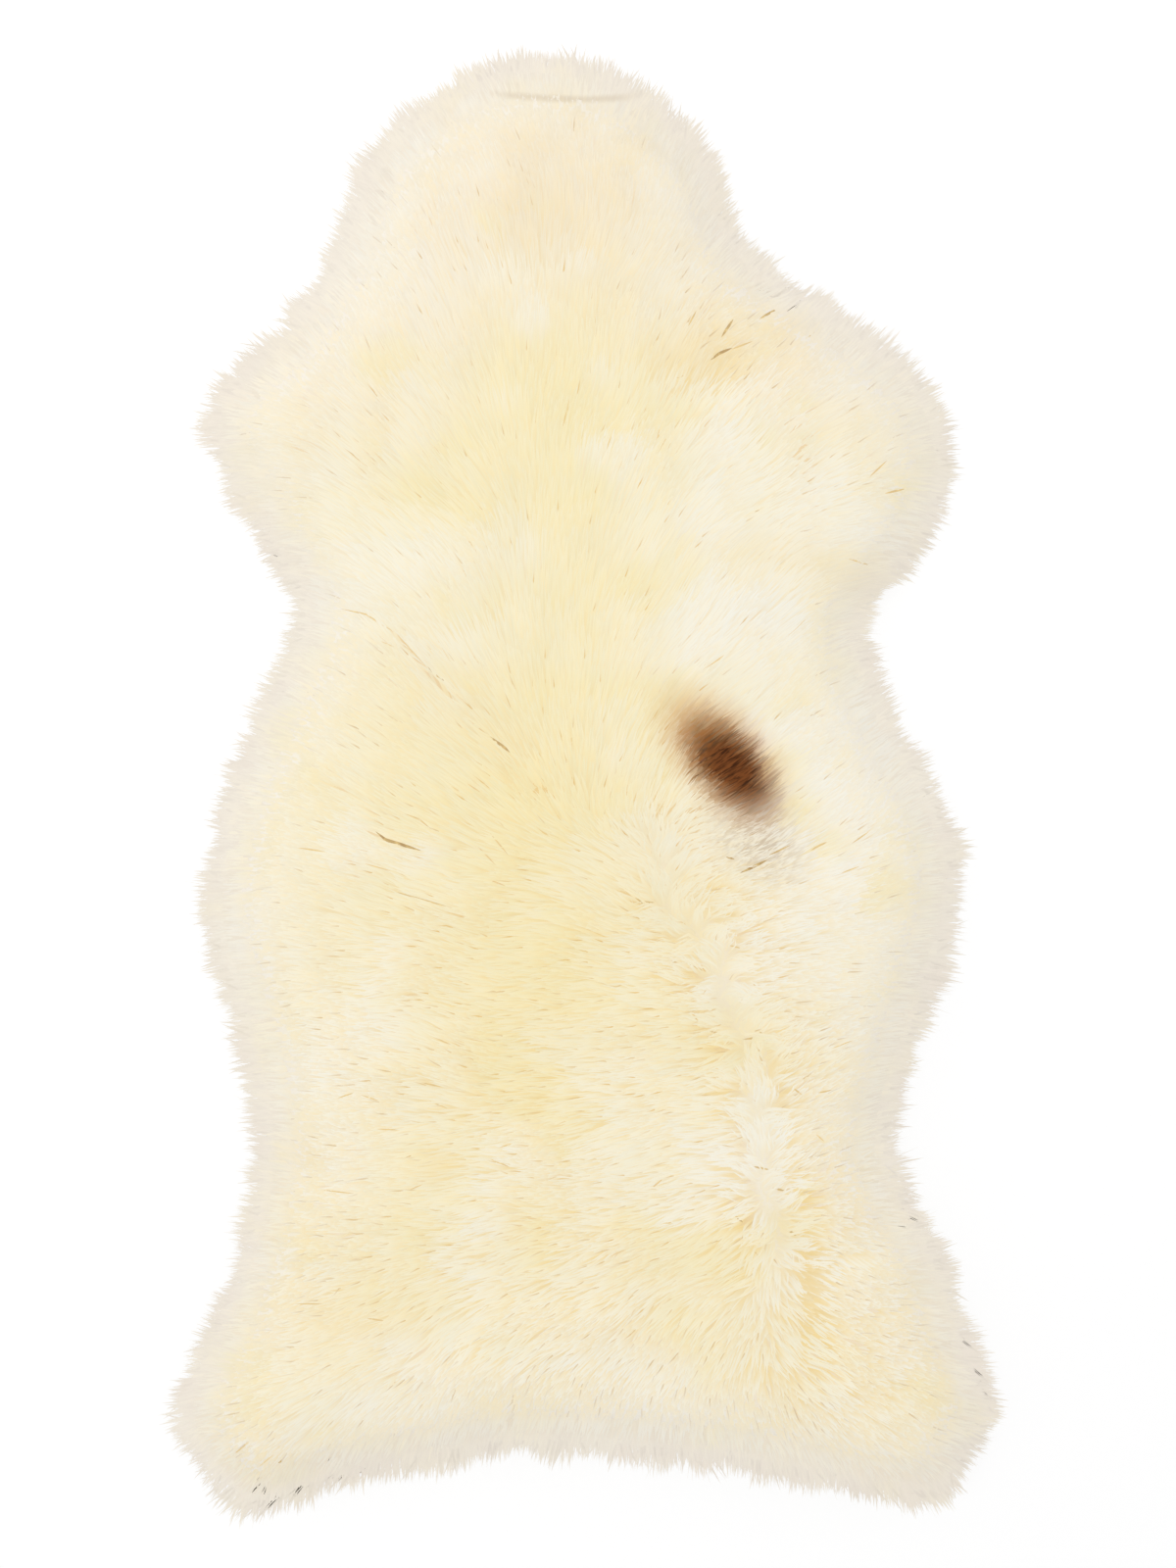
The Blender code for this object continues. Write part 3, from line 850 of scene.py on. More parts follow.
def slit_places(mesh):
    """Slits in the wool, as loose points: the named partings, then small ones, closer where it is tufted."""
    rng = np.random.default_rng(SEED)
    places, ways, sizes = [], [], []
    for slit in SLITS:
        points, towards = along_path(slit.path, SLIT_STEP)
        taper = np.sin(np.linspace(0.25, math.pi - 0.25, len(points)))
        for point, way, share_of in zip(points, towards, taper):
            places.append(point)
            ways.append(way)
            sizes.append((1.5 * SLIT_STEP, slit.width / 2 * MM * share_of, 0))

    plan = np.array([vert.co.xy for vert in mesh.vertices])
    lie, tufted, ruffled, rim = (field(mesh, name) for name in ("lie", "tufted", "ruffled", "rim"))
    areas = np.array([face.area for face in mesh.polygons])
    areas[areas.argmax()] = 0
    faces = rng.choice(len(areas), size=9000, p=areas / areas.sum())
    for face in faces:
        corners = mesh.polygons[face].vertices
        weights = rng.dirichlet(np.ones(len(corners)))
        corner = corners[int(weights.argmax())]
        point = weights @ plan[list(corners)]
        gap = 0.030 - 0.0185 * max(tufted[corner], ruffled[corner])
        if rim[corner] > 0.6 or np.linalg.norm(np.array(places) - point, axis=1).min() < gap:
            continue
        wild = rng.uniform(-1, 1) * (0.12 + 0.9 * ruffled[corner])
        long = rng.uniform(0.005, 0.014) * (1 - 0.4 * ruffled[corner])
        wide = 0.0020 * rng.uniform(0.1, 1) ** 1.6 * (0.35 + 0.8 * tufted[corner])
        places.append(point)
        ways.append(turned(lie[corner : corner + 1, :2], np.array([wild]))[0])
        sizes.append((long, wide, 0))
    slits = bpy.data.meshes.new("slits")
    slits.from_pydata([(x, y, 0) for x, y in places], [], [])
    store(slits, "slit_way", "FLOAT_VECTOR", np.array([(x, y, 0) for x, y in ways]))
    store(slits, "slit_size", "FLOAT_VECTOR", np.array(sizes))
    piece = bpy.data.objects.new("slits", slits)
    bpy.context.scene.collection.objects.link(piece)
    return piece


def notch_mesh(fleece):
    """The slits that stand out, as thin closed slivers of painted shadow that lie on the wool and taper to
    both ends.
    """
    under = bvhtree.BVHTree.FromPolygons(
        [vert.co for vert in fleece.vertices], [face.vertices for face in fleece.polygons]
    )
    bm = bmesh.new()
    darkness = []
    for notch in NOTCHES:
        points, towards = along_path([from_photo(*place) for place in notch.path], NOTCH_STEP)
        at = np.linspace(0, 1, len(points))
        half = np.sin(np.pi * at) ** 0.8 * notch.wide * PIXEL / 2
        rings = []
        for (x, y), (way_x, way_y), wide in zip(points, towards, half):
            top = under.ray_cast(Vector((x, y, 1)), Vector((0, 0, -1)))[0]
            middle = top + Vector((0, 0, NOTCH_HIGH))
            side = Vector((-way_y, way_x, 0)) * wide
            low = Vector((0, 0, -NOTCH_THICK * wide))
            corners = (middle,) if wide < WELD else (middle - side, middle + side, middle + low)
            rings.append([bm.verts.new(corner) for corner in corners])
            darkness += [notch.dark] * len(corners)
        for ring, after in zip(rings, rings[1:]):
            for n in range(3):
                corners = (
                    ring[n % len(ring)],
                    ring[(n + 1) % len(ring)],
                    after[(n + 1) % len(after)],
                    after[n % len(after)],
                )
                # A slit's end is one point, which would be a corner twice.
                bm.faces.new(list(dict.fromkeys(corners)))
    bmesh.ops.recalc_face_normals(bm, faces=bm.faces)
    mesh = bpy.data.meshes.new("notches")
    bm.to_mesh(mesh)
    bm.free()
    store(mesh, "dark", "FLOAT", np.array(darkness))
    mesh.normals_split_custom_set_from_vertices([(0, 0, 1)] * len(mesh.vertices))
    return mesh


def field(mesh, name):
    """A field's values on the mesh's points."""
    layer = mesh.attributes[name]
    wide = 3 if layer.data_type == "FLOAT_VECTOR" else 1
    values = np.zeros(len(mesh.vertices) * wide, dtype=np.float32)
    layer.data.foreach_get("vector" if wide == 3 else "value", values)
    return values.reshape(-1, 3) if wide == 3 else values


def store(mesh, name, kind, values):
    layer = mesh.attributes.new(name, kind, "POINT")
    layer.data.foreach_set("vector" if kind == "FLOAT_VECTOR" else "value", values.astype(np.float32).ravel())


# ---------------------------------------------------------------- wool

STRAND_SIDES = 3
WISP_FLATNESS = 0.12  # height over breadth
# The root colour is partly painted shade.
ROOT_FADE = (0.75, 0.20)  # where along a wisp the root's colour has faded out, and where it is full
ROOT_BLUNTNESS = 3.0  # the higher, the shorter the taper at a wisp's root
RISE_TURN = 1.75  # radians of a sine that a wisp's height follows
PAST_RIM_HIGH = 0.0045  # the most that a wisp stands over the floor where there is no fleece below it
NO_LIMIT = 9.0  # further than any place of the rug, where a limit is only for the height
SLOPE_LEVELLED = 1.2  # how far the slope that a wisp lies flat to is levelled, which keeps it from twisting
STOUT_ROOM = 0.035  # nearer to the rug's edge than this, the wisps get thinner
ATLAS_COLUMNS = 150  # cells of the wool's own map, one for each wisp
ATLAS_ROWS = 110

WOOL_INPUTS = (
    ("Fleece", "NodeSocketGeometry"),
    ("Rump End", "NodeSocketFloat"),
    ("Neck End", "NodeSocketFloat"),
    ("Least Rim", "NodeSocketFloat"),
    ("Least Ruffle", "NodeSocketFloat"),
    ("Least Tuft", "NodeSocketFloat"),
    ("Root Taper", "NodeSocketFloat"),
    ("Bluntness", "NodeSocketFloat"),
    ("Points", "NodeSocketInt"),
    ("Spacing", "NodeSocketFloat"),
    ("Density", "NodeSocketFloat"),
    ("Length", "NodeSocketFloat"),
    ("Breadth", "NodeSocketFloat"),
    ("Loft", "NodeSocketFloat"),
    ("Tuft Spacing", "NodeSocketFloat"),
    ("Tuft Pull", "NodeSocketFloat"),
    ("Wave", "NodeSocketFloat"),
    ("Waves", "NodeSocketFloat"),
    ("Slits", "NodeSocketObject"),
    ("Seed", "NodeSocketInt"),
    ("Material", "NodeSocketMaterial"),
)


def named(nodes, name, kind="FLOAT"):
    return nodes.add("GeometryNodeInputNamedAttribute", {"data_type": kind}, {"Name": name})


def stored(nodes, geometry, name, value, kind="FLOAT", domain="POINT"):
    return nodes.add(
        "GeometryNodeStoreNamedAttribute",
        {"data_type": kind, "domain": domain},
        {"Geometry": geometry, "Name": name, "Value": value},
    )


def random_between(nodes, low, high, seed):
    return nodes.add(
        "FunctionNodeRandomValue",
        {"data_type": "FLOAT"},
        {"Min": low, "Max": high, "Seed": seed},
    )


def way_along(nodes, normal, spread, seed):
    """The lie at a point of the fleece, turned a little at random and laid along the surface."""
    turned_lie = nodes.add(
        "ShaderNodeVectorRotate",
        {"rotation_type": "Z_AXIS"},
        {
            "Vector": named(nodes, "lie", "FLOAT_VECTOR"),
            "Angle": random_between(nodes, -1.0, 1.0, seed) * spread,
        },
    )
    into = nodes.vector("DOT_PRODUCT", turned_lie, normal)
    return nodes.vector("NORMALIZE", turned_lie - normal * (into * 0.85))


def nearest_to(nodes, place, source):
    """The index of the source's point that lies nearest to a place."""
    return nodes.add(
        "GeometryNodeSampleNearest", {"domain": "POINT"}, {"Geometry": source, "Sample Position": place}
    )


def sampled(nodes, source, value, index):
    """A vector from the source's point of that index."""
    return nodes.add(
        "GeometryNodeSampleIndex",
        {"data_type": "FLOAT_VECTOR", "domain": "POINT"},
        {"Geometry": source, "Value": value, "Index": index},
    )


def switched(nodes, test, otherwise, value):
    """One vector where the test holds, and another where it doesn't."""
    return nodes.add(
        "GeometryNodeSwitch", {"input_type": "VECTOR"}, {"Switch": test, "False": otherwise, "True": value}
    )


def pushed_by_slit(nodes, place, slits):
    """How far the nearest slit pushes a wisp's point aside, off the slit's own middle line."""
    flat = nodes.vector("MULTIPLY", place, (1, 1, 0))
    nearest = nearest_to(nodes, flat, slits)
    middle = sampled(nodes, slits, nodes.add("GeometryNodeInputPosition"), nearest)
    way = sampled(nodes, slits, named(nodes, "slit_way", "FLOAT_VECTOR"), nearest)
    extent = sampled(nodes, slits, named(nodes, "slit_size", "FLOAT_VECTOR"), nearest)
    extent = nodes.add("ShaderNodeSeparateXYZ", inputs={"Vector": extent})
    side = nodes.vector("CROSS_PRODUCT", (0.0, 0.0, 1.0), way)
    off = flat - middle
    aside = nodes.vector("DOT_PRODUCT", off, side)
    along = nodes.vector("DOT_PRODUCT", off, way) / extent["X"]
    wide = extent["Y"] * nodes.math("SQRT", nodes.math("MAXIMUM", 1.0 - along * along, 0.0))
    share_of = nodes.math("MAXIMUM", 1.0 - nodes.math("ABSOLUTE", aside) * (1.0 / SLIT_BAND), 0.0)
    return side * (wide * share_of * nodes.math("SIGN", aside))


def wool_tree():
    """Wisps of wool in tufts: each leans along the wool's lie and runs towards its tuft's tip."""
    tree = bpy.data.node_groups.new("Wool", "GeometryNodeTree")
    for name, kind in WOOL_INPUTS:
        tree.interface.new_socket(name, in_out="INPUT", socket_type=kind)
    tree.interface.new_socket("Wool", in_out="OUTPUT", socket_type="NodeSocketGeometry")
    nodes = Nodes(tree)
    given = nodes.add("NodeGroupInput")
    fleece, seed = given["Fleece"], given["Seed"]
    place = nodes.add("GeometryNodeInputPosition")
    y = nodes.add("ShaderNodeSeparateXYZ", inputs={"Vector": place})["Y"]
    tufted, ruffled, rim = named(nodes, "tufted"), named(nodes, "ruffled"), named(nodes, "rim")
    slits = nodes.add(
        "GeometryNodeObjectInfo", {"transform_space": "ORIGINAL"}, {"Object": given["Slits"]}
    )["Geometry"]

    # Tufts cover the whole fleece, so that the pieces of wool share them.
    tufts = nodes.add(
        "GeometryNodeDistributePointsOnFaces",
        {"distribute_method": "POISSON"},
        {"Mesh": fleece, "Distance Min": given["Tuft Spacing"],
         "Density Max": 2.0 / (given["Tuft Spacing"] * given["Tuft Spacing"]), "Seed": 3},
    )
    tuft_way = way_along(nodes, tufts["Normal"], 0.05 + 0.22 * tufted + 0.8 * ruffled, 11)
    tuft_length = given["Length"] * random_between(nodes, 0.80, 1.10, 12) * (1.0 - 0.5 * ruffled)
    tuft_tip = place + tuft_way * tuft_length
    tuft_traits = nodes.add(
        "ShaderNodeCombineXYZ",
        inputs={0: random_between(nodes, 0.0, 1.0, 13), 1: random_between(nodes, 0.0, 1.0, 14), 2: 0.0},
    )

    # Roots of the wisps
    chosen = (y > given["Rump End"]) * (y < given["Neck End"]) * (rim > given["Least Rim"])
    scattered = tufted + 0.5 * ruffled + random_between(nodes, 0.0, 0.8, seed + 5.0)
    chosen = chosen * (ruffled > given["Least Ruffle"]) * (scattered > given["Least Tuft"])
    facing = nodes.add("ShaderNodeSeparateXYZ", inputs={"Vector": nodes.add("GeometryNodeInputNormal")})["Z"]
    roots = nodes.add(
        "GeometryNodeDistributePointsOnFaces",
        {"distribute_method": "POISSON"},
        {"Mesh": fleece, "Selection": chosen * (facing > -0.2), "Distance Min": given["Spacing"],
         "Density Max": given["Density"], "Seed": seed},
    )
    normal = roots["Normal"]
    nearest = nearest_to(nodes, place, tufts)
    traits = sampled(nodes, tufts, tuft_traits, nearest)
    traits = nodes.add("ShaderNodeSeparateXYZ", inputs={"Vector": traits})
    own = random_between(nodes, 0.0, 1.0, seed + 1.0)
    way = way_along(nodes, normal, 0.08 + 0.14 * tufted + 0.6 * ruffled, seed + 2.0)
    way = way * (1.0 - 0.5 * ruffled) + sampled(nodes, tufts, tuft_way, nearest) * (0.5 * ruffled)
    way = nodes.vector("NORMALIZE", way)
    length = given["Length"] * random_between(nodes, 0.75, 1.15, seed + 3.0) * (1.0 - 0.5 * ruffled)
    room = named(nodes, "room") * (random_between(nodes, 0.55, 1.05, seed + 4.0) + 0.35 * traits["X"])
    run = way * nodes.math("MINIMUM", length, room)
    together = nodes.math("MINIMUM", given["Tuft Pull"] * (0.15 + 0.40 * tufted + 0.1 * ruffled), 0.95)
    pull = (sampled(nodes, tufts, tuft_tip, nearest) - place - run) * (together * (1.0 - rim))
    height = 0.85 + 0.18 * own + 0.30 * (traits["X"] - 0.5) * (0.3 + tufted) + 0.5 * ruffled
    sway = given["Wave"] * (0.25 + 0.9 * tufted + 0.6 * ruffled)
    side = nodes.vector("CROSS_PRODUCT", normal, way) * sway
    points = roots
    for name, value, kind in (
        ("root", place, "FLOAT_VECTOR"),
        ("run", run, "FLOAT_VECTOR"),
        ("pull", pull, "FLOAT_VECTOR"),
        ("lift", given["Loft"] * height, "FLOAT"),
        ("up", normal, "FLOAT_VECTOR"),
        ("side", side, "FLOAT_VECTOR"),
        ("own", own, "FLOAT"),
        ("stout", nodes.ramp(named(nodes, "room"), 0.0, STOUT_ROOM, 0.25, 1.0), "FLOAT"),
        ("tuft", traits["X"], "FLOAT"),
        ("phase", traits["Y"] + 0.12 * own, "FLOAT"),
        ("number", nodes.add("GeometryNodeInputIndex"), "FLOAT"),
    ):
        points = stored(nodes, points, name, value, kind)

    # Wisps, bent by how far along them each of their points lies
    line = nodes.add("GeometryNodeCurvePrimitiveLine", inputs={"End": (0, 0, 1)})
    line = nodes.add(
        "GeometryNodeResampleCurve", {"mode": "COUNT"}, {"Curve": line, "Count": given["Points"]}
    )
    wisps = nodes.add("GeometryNodeInstanceOnPoints", inputs={"Points": points, "Instance": line})
    wisps = nodes.add("GeometryNodeRealizeInstances", inputs={"Geometry": wisps})
    along = nodes.add("GeometryNodeSplineParameter")
    wisps = stored(nodes, wisps, "along", along)
    swing = nodes.math("SINE", (along * given["Waves"] + named(nodes, "phase")) * math.tau) * along
    bent = (
        named(nodes, "root", "FLOAT_VECTOR")
        + named(nodes, "run", "FLOAT_VECTOR") * along
        + named(nodes, "pull", "FLOAT_VECTOR") * (along * along)
        + named(nodes, "side", "FLOAT_VECTOR") * swing
    )
    bent = bent + pushed_by_slit(nodes, bent, slits)
    rise = nodes.math("SINE", along * RISE_TURN) - 0.12
    above = nodes.vector("MULTIPLY", bent, (1, 1, 0)) + (0.0, 0.0, 1.0)
    below = nodes.add(
        "GeometryNodeRaycast",
        inputs={
            "Target Geometry": fleece, "Source Position": above,
            "Ray Direction": (0, 0, -1), "Ray Length": 2.0,
        },
    )
    on_fleece = below["Hit Position"] + below["Hit Normal"] * (named(nodes, "lift") * rise)
    droop = nodes.add("ShaderNodeCombineXYZ", inputs={0: 1.0, 1: 1.0, 2: 1.0 - 0.9 * along * along})
    past_rim = bent + named(nodes, "up", "FLOAT_VECTOR") * (named(nodes, "lift") * rise)
    past_rim = nodes.vector("MULTIPLY", past_rim, droop)
    past_rim = nodes.vector("MINIMUM", past_rim, (NO_LIMIT, NO_LIMIT, PAST_RIM_HIGH))
    laid = switched(nodes, below["Is Hit"], past_rim, on_fleece)
    least_high = 0.0006 + 0.0010 * named(nodes, "own")
    floor = nodes.add("ShaderNodeCombineXYZ", inputs={0: -NO_LIMIT, 1: -NO_LIMIT, 2: least_high})
    upright = named(nodes, "up", "FLOAT_VECTOR") + (0, 0, 2)
    up = switched(nodes, below["Is Hit"], upright, below["Hit Normal"] + (0, 0, 0.6))
    slope = switched(nodes, below["Is Hit"], (0, 0, 1), below["Hit Normal"] + (0.0, 0.0, SLOPE_LEVELLED))
    wisps = stored(nodes, wisps, "slope", slope, "FLOAT_VECTOR")
    wisps = stored(nodes, wisps, "up", nodes.vector("NORMALIZE", up), "FLOAT_VECTOR")
    wisps = nodes.add(
        "GeometryNodeSetPosition",
        inputs={"Geometry": wisps, "Position": nodes.vector("MAXIMUM", laid, floor)},
    )

    # Each wisp is a closed three-sided taper, flat on the fleece's slope, with its own cell in the map.
    ahead = nodes.add("GeometryNodeInputTangent")
    across = nodes.vector("CROSS_PRODUCT", ahead, named(nodes, "slope", "FLOAT_VECTOR"))
    wisps = nodes.add(
        "GeometryNodeSetCurveNormal", {"mode": "FREE"},
        {"Curve": wisps, "Normal": nodes.vector("NORMALIZE", across)},
    )
    profile = nodes.add(
        "GeometryNodeCurvePrimitiveCircle", inputs={"Resolution": STRAND_SIDES, "Radius": 1.0}
    )
    for change in ({"Rotation": (0, 0, -math.pi / 2)}, {"Scale": (1, WISP_FLATNESS, 1)}):
        profile = nodes.add("GeometryNodeTransform", inputs={"Geometry": profile, **change})
    around = nodes.add("GeometryNodeInputIndex") * (1.0 / (STRAND_SIDES - 1))
    profile = stored(nodes, profile, "around", around)
    stoutness = given["Breadth"] * named(nodes, "stout") * (0.75 + 0.5 * named(nodes, "own"))
    thin_root = 1.0 - given["Root Taper"] * (1.0 - named(nodes, "along")) ** ROOT_BLUNTNESS
    taper = stoutness * thin_root * (1.0 - named(nodes, "along") ** given["Bluntness"])
    mesh = nodes.add(
        "GeometryNodeCurveToMesh",
        inputs={"Curve": wisps, "Profile Curve": profile, "Scale": taper, "Fill Caps": True},
    )
    number = named(nodes, "number")
    row = nodes.math("FLOOR", number * (1.0 / ATLAS_COLUMNS))
    column = number - row * ATLAS_COLUMNS
    cell = nodes.add(
        "ShaderNodeCombineXYZ",
        inputs={
            0: (column + 0.15 + 0.7 * named(nodes, "around")) * (1.0 / ATLAS_COLUMNS),
            1: (row + 0.08 + 0.84 * named(nodes, "along")) * (1.0 / ATLAS_ROWS),
        },
    )
    wisp = nodes.add(
        "ShaderNodeCombineXYZ",
        inputs={0: named(nodes, "along"), 1: named(nodes, "own"), 2: named(nodes, "tuft")},
    )
    mesh = stored(nodes, mesh, "wisp", wisp, "FLOAT_VECTOR")
    mesh = stored(nodes, mesh, "OFBake", cell, "FLOAT2", "CORNER")
    mesh = nodes.add(
        "GeometryNodeMergeByDistance",
        inputs={"Geometry": mesh, "Selection": named(nodes, "along") > 0.99, "Distance": 0.000001},
    )
    mesh = nodes.add("GeometryNodeSetShadeSmooth", inputs={"Geometry": mesh})
    # Loose wool is shaded as the fleece below it, a little levelled.
    mesh = nodes.add(
        "GeometryNodeSetMeshNormal", {"mode": "FREE", "domain": "POINT"},
        {"Mesh": mesh, "Custom Normal": named(nodes, "up", "FLOAT_VECTOR")},
    )
    mesh = nodes.add("GeometryNodeRealizeInstances", inputs={"Geometry": mesh})
    mesh = nodes.add("GeometryNodeSetMaterial", inputs={"Geometry": mesh, "Material": given["Material"]})
    nodes.add("NodeGroupOutput", inputs={"Wool": mesh})
    return tree


def grown(name, tree, values):
    """A piece of wool as a plain mesh, grown on the fleece by the tree."""
    piece = bpy.data.objects.new(name, bpy.data.objects[FLEECE].data)
    bpy.context.scene.collection.objects.link(piece)
    growth = piece.modifiers.new("Wool", "NODES")
    growth.node_group = tree
    for item in tree.interface.items_tree:
        if item.item_type == "SOCKET" and item.in_out == "INPUT" and item.name in values:
            growth[item.identifier] = values[item.name]
    mesh = mesh_of(piece)
    piece.modifiers.remove(growth)
    for layer in SCRATCH_LAYERS:
        if layer in mesh.attributes:
            mesh.attributes.remove(mesh.attributes[layer])
    mesh.name = name
    piece.data = mesh
    return piece


# What the tree stores only for its own use
SCRATCH_LAYERS = (
    "lie", "room", "stout", "up", "run", "pull", "lift", "side",
    "own", "tuft", "phase", "number", "along", "around", "slope",
)


def finish_piece(piece):
    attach(piece, BODY)
    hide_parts(SKIN_SOLID)
    return piece


# ---------------------------------------------------------------- operators


class SHEEPSKIN_OT_fleece(bpy.types.Operator):
    """Makes the closed fleece under the wool, with the wool's lie on it"""

    bl_idname = "sheepskin.fleece"
    bl_label = "Fleece"

    def execute(self, context):
        mesh = fleece_mesh()
        add_fields(mesh)
        mesh.materials.append(fleece_material())
        piece = bpy.data.objects.new(FLEECE, mesh)
        context.scene.collection.objects.link(piece)
        finish_piece(piece)
        return {"FINISHED"}


WOOL_PIECES = ("wool_rump", "wool_loin", "wool_belly", "wool_shoulders", "wool_neck")
RIM_PIECES = ("rim_wool_rear", "rim_wool_front")
CURL_PIECES = ("curls",)
SLIT_SHADE_PIECES = ("stained_wisps",)
NOTCH_PIECE = "notches"
CROWDING = 0.9  # roots tried for each square of the spacing's side


def band_ends(count):
    """Limits along the rug that share the fleece out between that many bands."""
    mesh = bpy.data.objects[FLEECE].data
    faces = sorted((face.center.y, face.area) for face in mesh.polygons if face.normal.z > 0)
    run = np.cumsum([area for _, area in faces])
    limits = [faces[int(np.searchsorted(run, run[-1] * n / count))][0] for n in range(1, count)]
    return [-1.0, *limits, 1.0]


def grow_bands(names, values):
    """Grows pieces of wool of one kind, side by side from the rump to the neck."""
    if FLEECE not in bpy.data.objects:
        raise RuntimeError("Make the fleece first: the wool grows on it")
    tree = wool_tree()
    slits = slit_places(bpy.data.objects[FLEECE].data)
    ends = band_ends(len(names))
    for n, name in enumerate(names):
        place = {"Rump End": ends[n], "Neck End": ends[n + 1], "Slits": slits}
        piece = grown(name, tree, {**values, **place, "Seed": values["Seed"] + 20 * n})
        # Loose wool lets the light through, so that its wisps don't darken each other or the floor.
        piece.visible_shadow = False
        piece.visible_diffuse = False
        finish_piece(piece)
    bpy.data.objects.remove(slits)
    bpy.data.node_groups.remove(tree)


def wool_values(spacing):
    """What the tree is given for every kind of wool, where a kind has no value of its own."""
    sizes = settings().wool
    return {
        "Least Rim": -1.0, "Least Ruffle": -1.0, "Least Tuft": -1.0,
        "Root Taper": 0.0, "Bluntness": 3.0, "Points": 3,
        "Spacing": spacing, "Density": CROWDING / spacing**2,
        "Loft": sizes.loft, "Tuft Spacing": sizes.tuft_spacing, "Wave": sizes.wave, "Waves": 0.85,
    }


class SHEEPSKIN_OT_wool(bpy.types.Operator):
    """Grows the wool over the back, in bands from the rump to the neck"""

    bl_idname = "sheepskin.wool"
    bl_label = "Wool"

    def execute(self, context):
        sizes = settings().wool
        grow_bands(WOOL_PIECES, {
            **wool_values(sizes.spacing),
            "Length": sizes.length, "Breadth": sizes.breadth, "Tuft Pull": sizes.tuft_pull,
            "Material": wool_material(), "Seed": 20,
        })
        return {"FINISHED"}


class SHEEPSKIN_OT_rim_wool(bpy.types.Operator):
    """Grows the long thin wool round the rim"""

    bl_idname = "sheepskin.rim_wool"
    bl_label = "Rim Wool"

    def execute(self, context):
        sizes = settings().wool
        grow_bands(RIM_PIECES, {
            **wool_values(sizes.rim_spacing),
            "Least Rim": 0.50, "Root Taper": 0.8, "Bluntness": 1.2,
            "Length": sizes.rim_length, "Breadth": sizes.rim_breadth, "Tuft Pull": 0.5,
            "Material": bpy.data.materials["wool wisps"], "Seed": 200,
        })
        return {"FINISHED"}


class SHEEPSKIN_OT_curls(bpy.types.Operator):
    """Grows short curly wool where the wool parts along the back"""

    bl_idname = "sheepskin.curls"
    bl_label = "Curls"

    def execute(self, context):
        sizes = settings().wool
        grow_bands(CURL_PIECES, {
            **wool_values(sizes.curl_spacing),
            "Least Ruffle": 0.15, "Points": 5, "Loft": 1.3 * sizes.loft, "Waves": 1.1,
            "Length": sizes.curl_length, "Breadth": sizes.curl_breadth, "Tuft Pull": 0.8,
            "Material": bpy.data.materials["wool wisps"], "Seed": 300,
        })
        return {"FINISHED"}


class SHEEPSKIN_OT_slit_shade_wisps(bpy.types.Operator):
    """Grows the golden wisps that show between the cream ones, most where the wool is tufted: painted shadow
    for the gaps between tufts
    """

    bl_idname = "sheepskin.stained_wisps"
    bl_label = "Slit Shade Wisps"

    def execute(self, context):
        sizes = settings().wool
        grow_bands(SLIT_SHADE_PIECES, {
            **wool_values(sizes.slit_shade_spacing),
            "Least Tuft": 0.72, "Root Taper": 0.9, "Bluntness": 1.6, "Points": 5,
            "Loft": 1.45 * sizes.loft, "Wave": 0.8 * sizes.wave, "Waves": 0.7,
            "Length": sizes.slit_shade_length, "Breadth": sizes.slit_shade_breadth, "Tuft Pull": 0.3,
            "Material": slit_shade_material(), "Seed": 400,
        })
        return {"FINISHED"}


class SHEEPSKIN_OT_notches(bpy.types.Operator):
    """Lays the slits that stand out on the wool, as painted shadow"""

    bl_idname = "sheepskin.notches"
    bl_label = "Notches"

    def execute(self, context):
        if FLEECE not in bpy.data.objects:
            raise RuntimeError("Make the fleece first: the notches lie on it")
        mesh = notch_mesh(bpy.data.objects[FLEECE].data)
        mesh.materials.append(notch_material())
        piece = bpy.data.objects.new(NOTCH_PIECE, mesh)
        context.scene.collection.objects.link(piece)
        piece.visible_shadow = False
        piece.visible_diffuse = False
        finish_piece(piece)
        return {"FINISHED"}


class SHEEPSKIN_OT_hide(bpy.types.Operator):
    """Makes the tanned hide under the fleece"""

    bl_idname = "sheepskin.hide"
    bl_label = "Hide"

    def execute(self, context):
        sizes = settings().hide
        foot, away = foot_of(bpy.data.objects[FLEECE].data)
        outline = foot - away * sizes.inset
        bm = bmesh.new()
        low = [bm.verts.new((x, y, 0)) for x, y in outline]
        high = [bm.verts.new((x, y, sizes.thickness)) for x, y in outline]
        for n in range(len(low)):
            after = (n + 1) % len(low)
            bm.faces.new((low[n], low[after], high[after], high[n]))
        bm.faces.new(low)
        bm.faces.new(high)
        bmesh.ops.recalc_face_normals(bm, faces=bm.faces)
        mesh = bpy.data.meshes.new(HIDE)
        bm.to_mesh(mesh)
        bm.free()
        mesh.materials.append(suede_material())
        piece = bpy.data.objects.new(HIDE, mesh)
        context.scene.collection.objects.link(piece)
        finish_piece(piece)
        return {"FINISHED"}


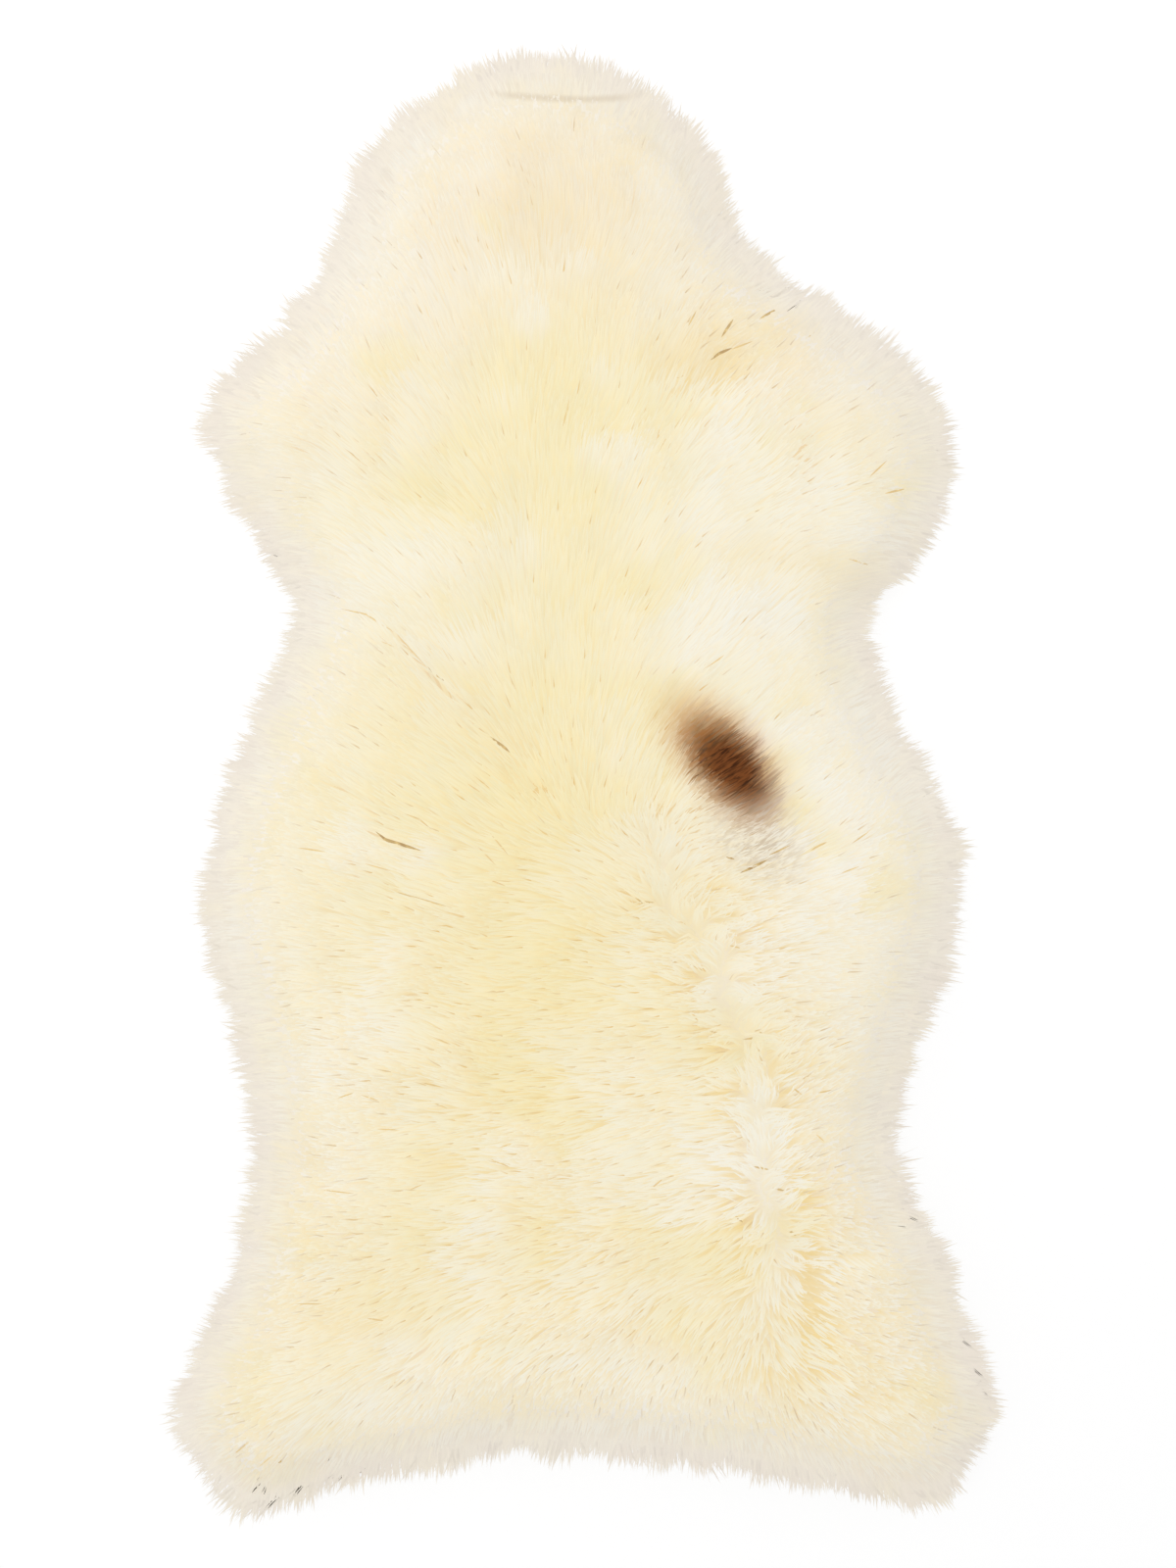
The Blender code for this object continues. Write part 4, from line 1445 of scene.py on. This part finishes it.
class SHEEPSKIN_OT_stage(bpy.types.Operator):
    """Sets the floor, the light and the camera"""

    bl_idname = "sheepskin.stage"
    bl_label = "Stage"

    def execute(self, context):
        given = settings().stage
        scene = context.scene
        mesh = bpy.data.meshes.new("floor")
        bm = bmesh.new()
        bmesh.ops.create_grid(bm, x_segments=1, y_segments=1, size=FLOOR_REACH)
        bmesh.ops.translate(bm, verts=bm.verts, vec=(0, 0, -0.0003))
        bm.to_mesh(mesh)
        bm.free()
        mesh.materials.append(floor_material())
        floor = bpy.data.objects.new("floor", mesh)
        scene.collection.objects.link(floor)

        world = bpy.data.worlds.new("daylight")
        world.use_nodes = True
        scene.world = world
        background = world.node_tree.nodes["Background"]
        background.inputs["Color"].default_value = (1, 1, 1, 1)
        background.inputs["Strength"].default_value = given.daylight

        lamp = bpy.data.lights.new("soft lamp", "AREA")
        lamp.shape = "DISK"
        lamp.size = LAMP_SIZE
        lamp.energy = given.lamp
        light = bpy.data.objects.new("soft lamp", lamp)
        light.location = LAMP_PLACE
        light.rotation_euler = (Vector((0, 0, 0)) - light.location).to_track_quat("-Z", "Y").to_euler()
        scene.collection.objects.link(light)

        lens = bpy.data.cameras.new("camera")
        lens.lens = PHOTO_LENS_MM
        lens.sensor_width = SENSOR_MM
        camera = bpy.data.objects.new("camera", lens)
        camera.location = (*PHOTO_MIDDLE, PHOTO_HEIGHT * PHOTO_LENS_MM / SENSOR_MM + 0.02)
        scene.collection.objects.link(camera)
        scene.camera = camera
        scene.view_settings.view_transform = "Standard"
        return {"FINISHED"}


class SHEEPSKIN_PT_panel(bpy.types.Panel):
    """Lists the rug's pieces"""

    bl_idname = "SHEEPSKIN_PT_panel"
    bl_label = "Sheepskin Rug"
    bl_space_type = "VIEW_3D"
    bl_region_type = "UI"
    bl_category = "Sheepskin"

    def draw(self, context):
        for operator in OPERATORS:
            self.layout.operator(operator.bl_idname)


OPERATORS = (
    SHEEPSKIN_OT_fleece, SHEEPSKIN_OT_wool, SHEEPSKIN_OT_rim_wool, SHEEPSKIN_OT_curls,
    SHEEPSKIN_OT_slit_shade_wisps, SHEEPSKIN_OT_notches, SHEEPSKIN_OT_hide, SHEEPSKIN_OT_stage,
)
CLASSES = (
    WoolSizes, WoolColours, HideSizes, StageSettings, SheepskinSettings, *OPERATORS, SHEEPSKIN_PT_panel,
)


def register():
    for cls in CLASSES:
        bpy.utils.register_class(cls)
    bpy.types.Scene.sheepskin = PointerProperty(type=SheepskinSettings)


def unregister():
    del bpy.types.Scene.sheepskin
    for cls in reversed(CLASSES):
        bpy.utils.unregister_class(cls)


def main():
    register()
    bpy.ops.sheepskin.fleece()
    bpy.ops.sheepskin.wool()
    bpy.ops.sheepskin.rim_wool()
    bpy.ops.sheepskin.curls()
    bpy.ops.sheepskin.stained_wisps()
    bpy.ops.sheepskin.notches()
    bpy.ops.sheepskin.hide()
    bpy.ops.sheepskin.stage()


if __name__ == "__main__":
    main()
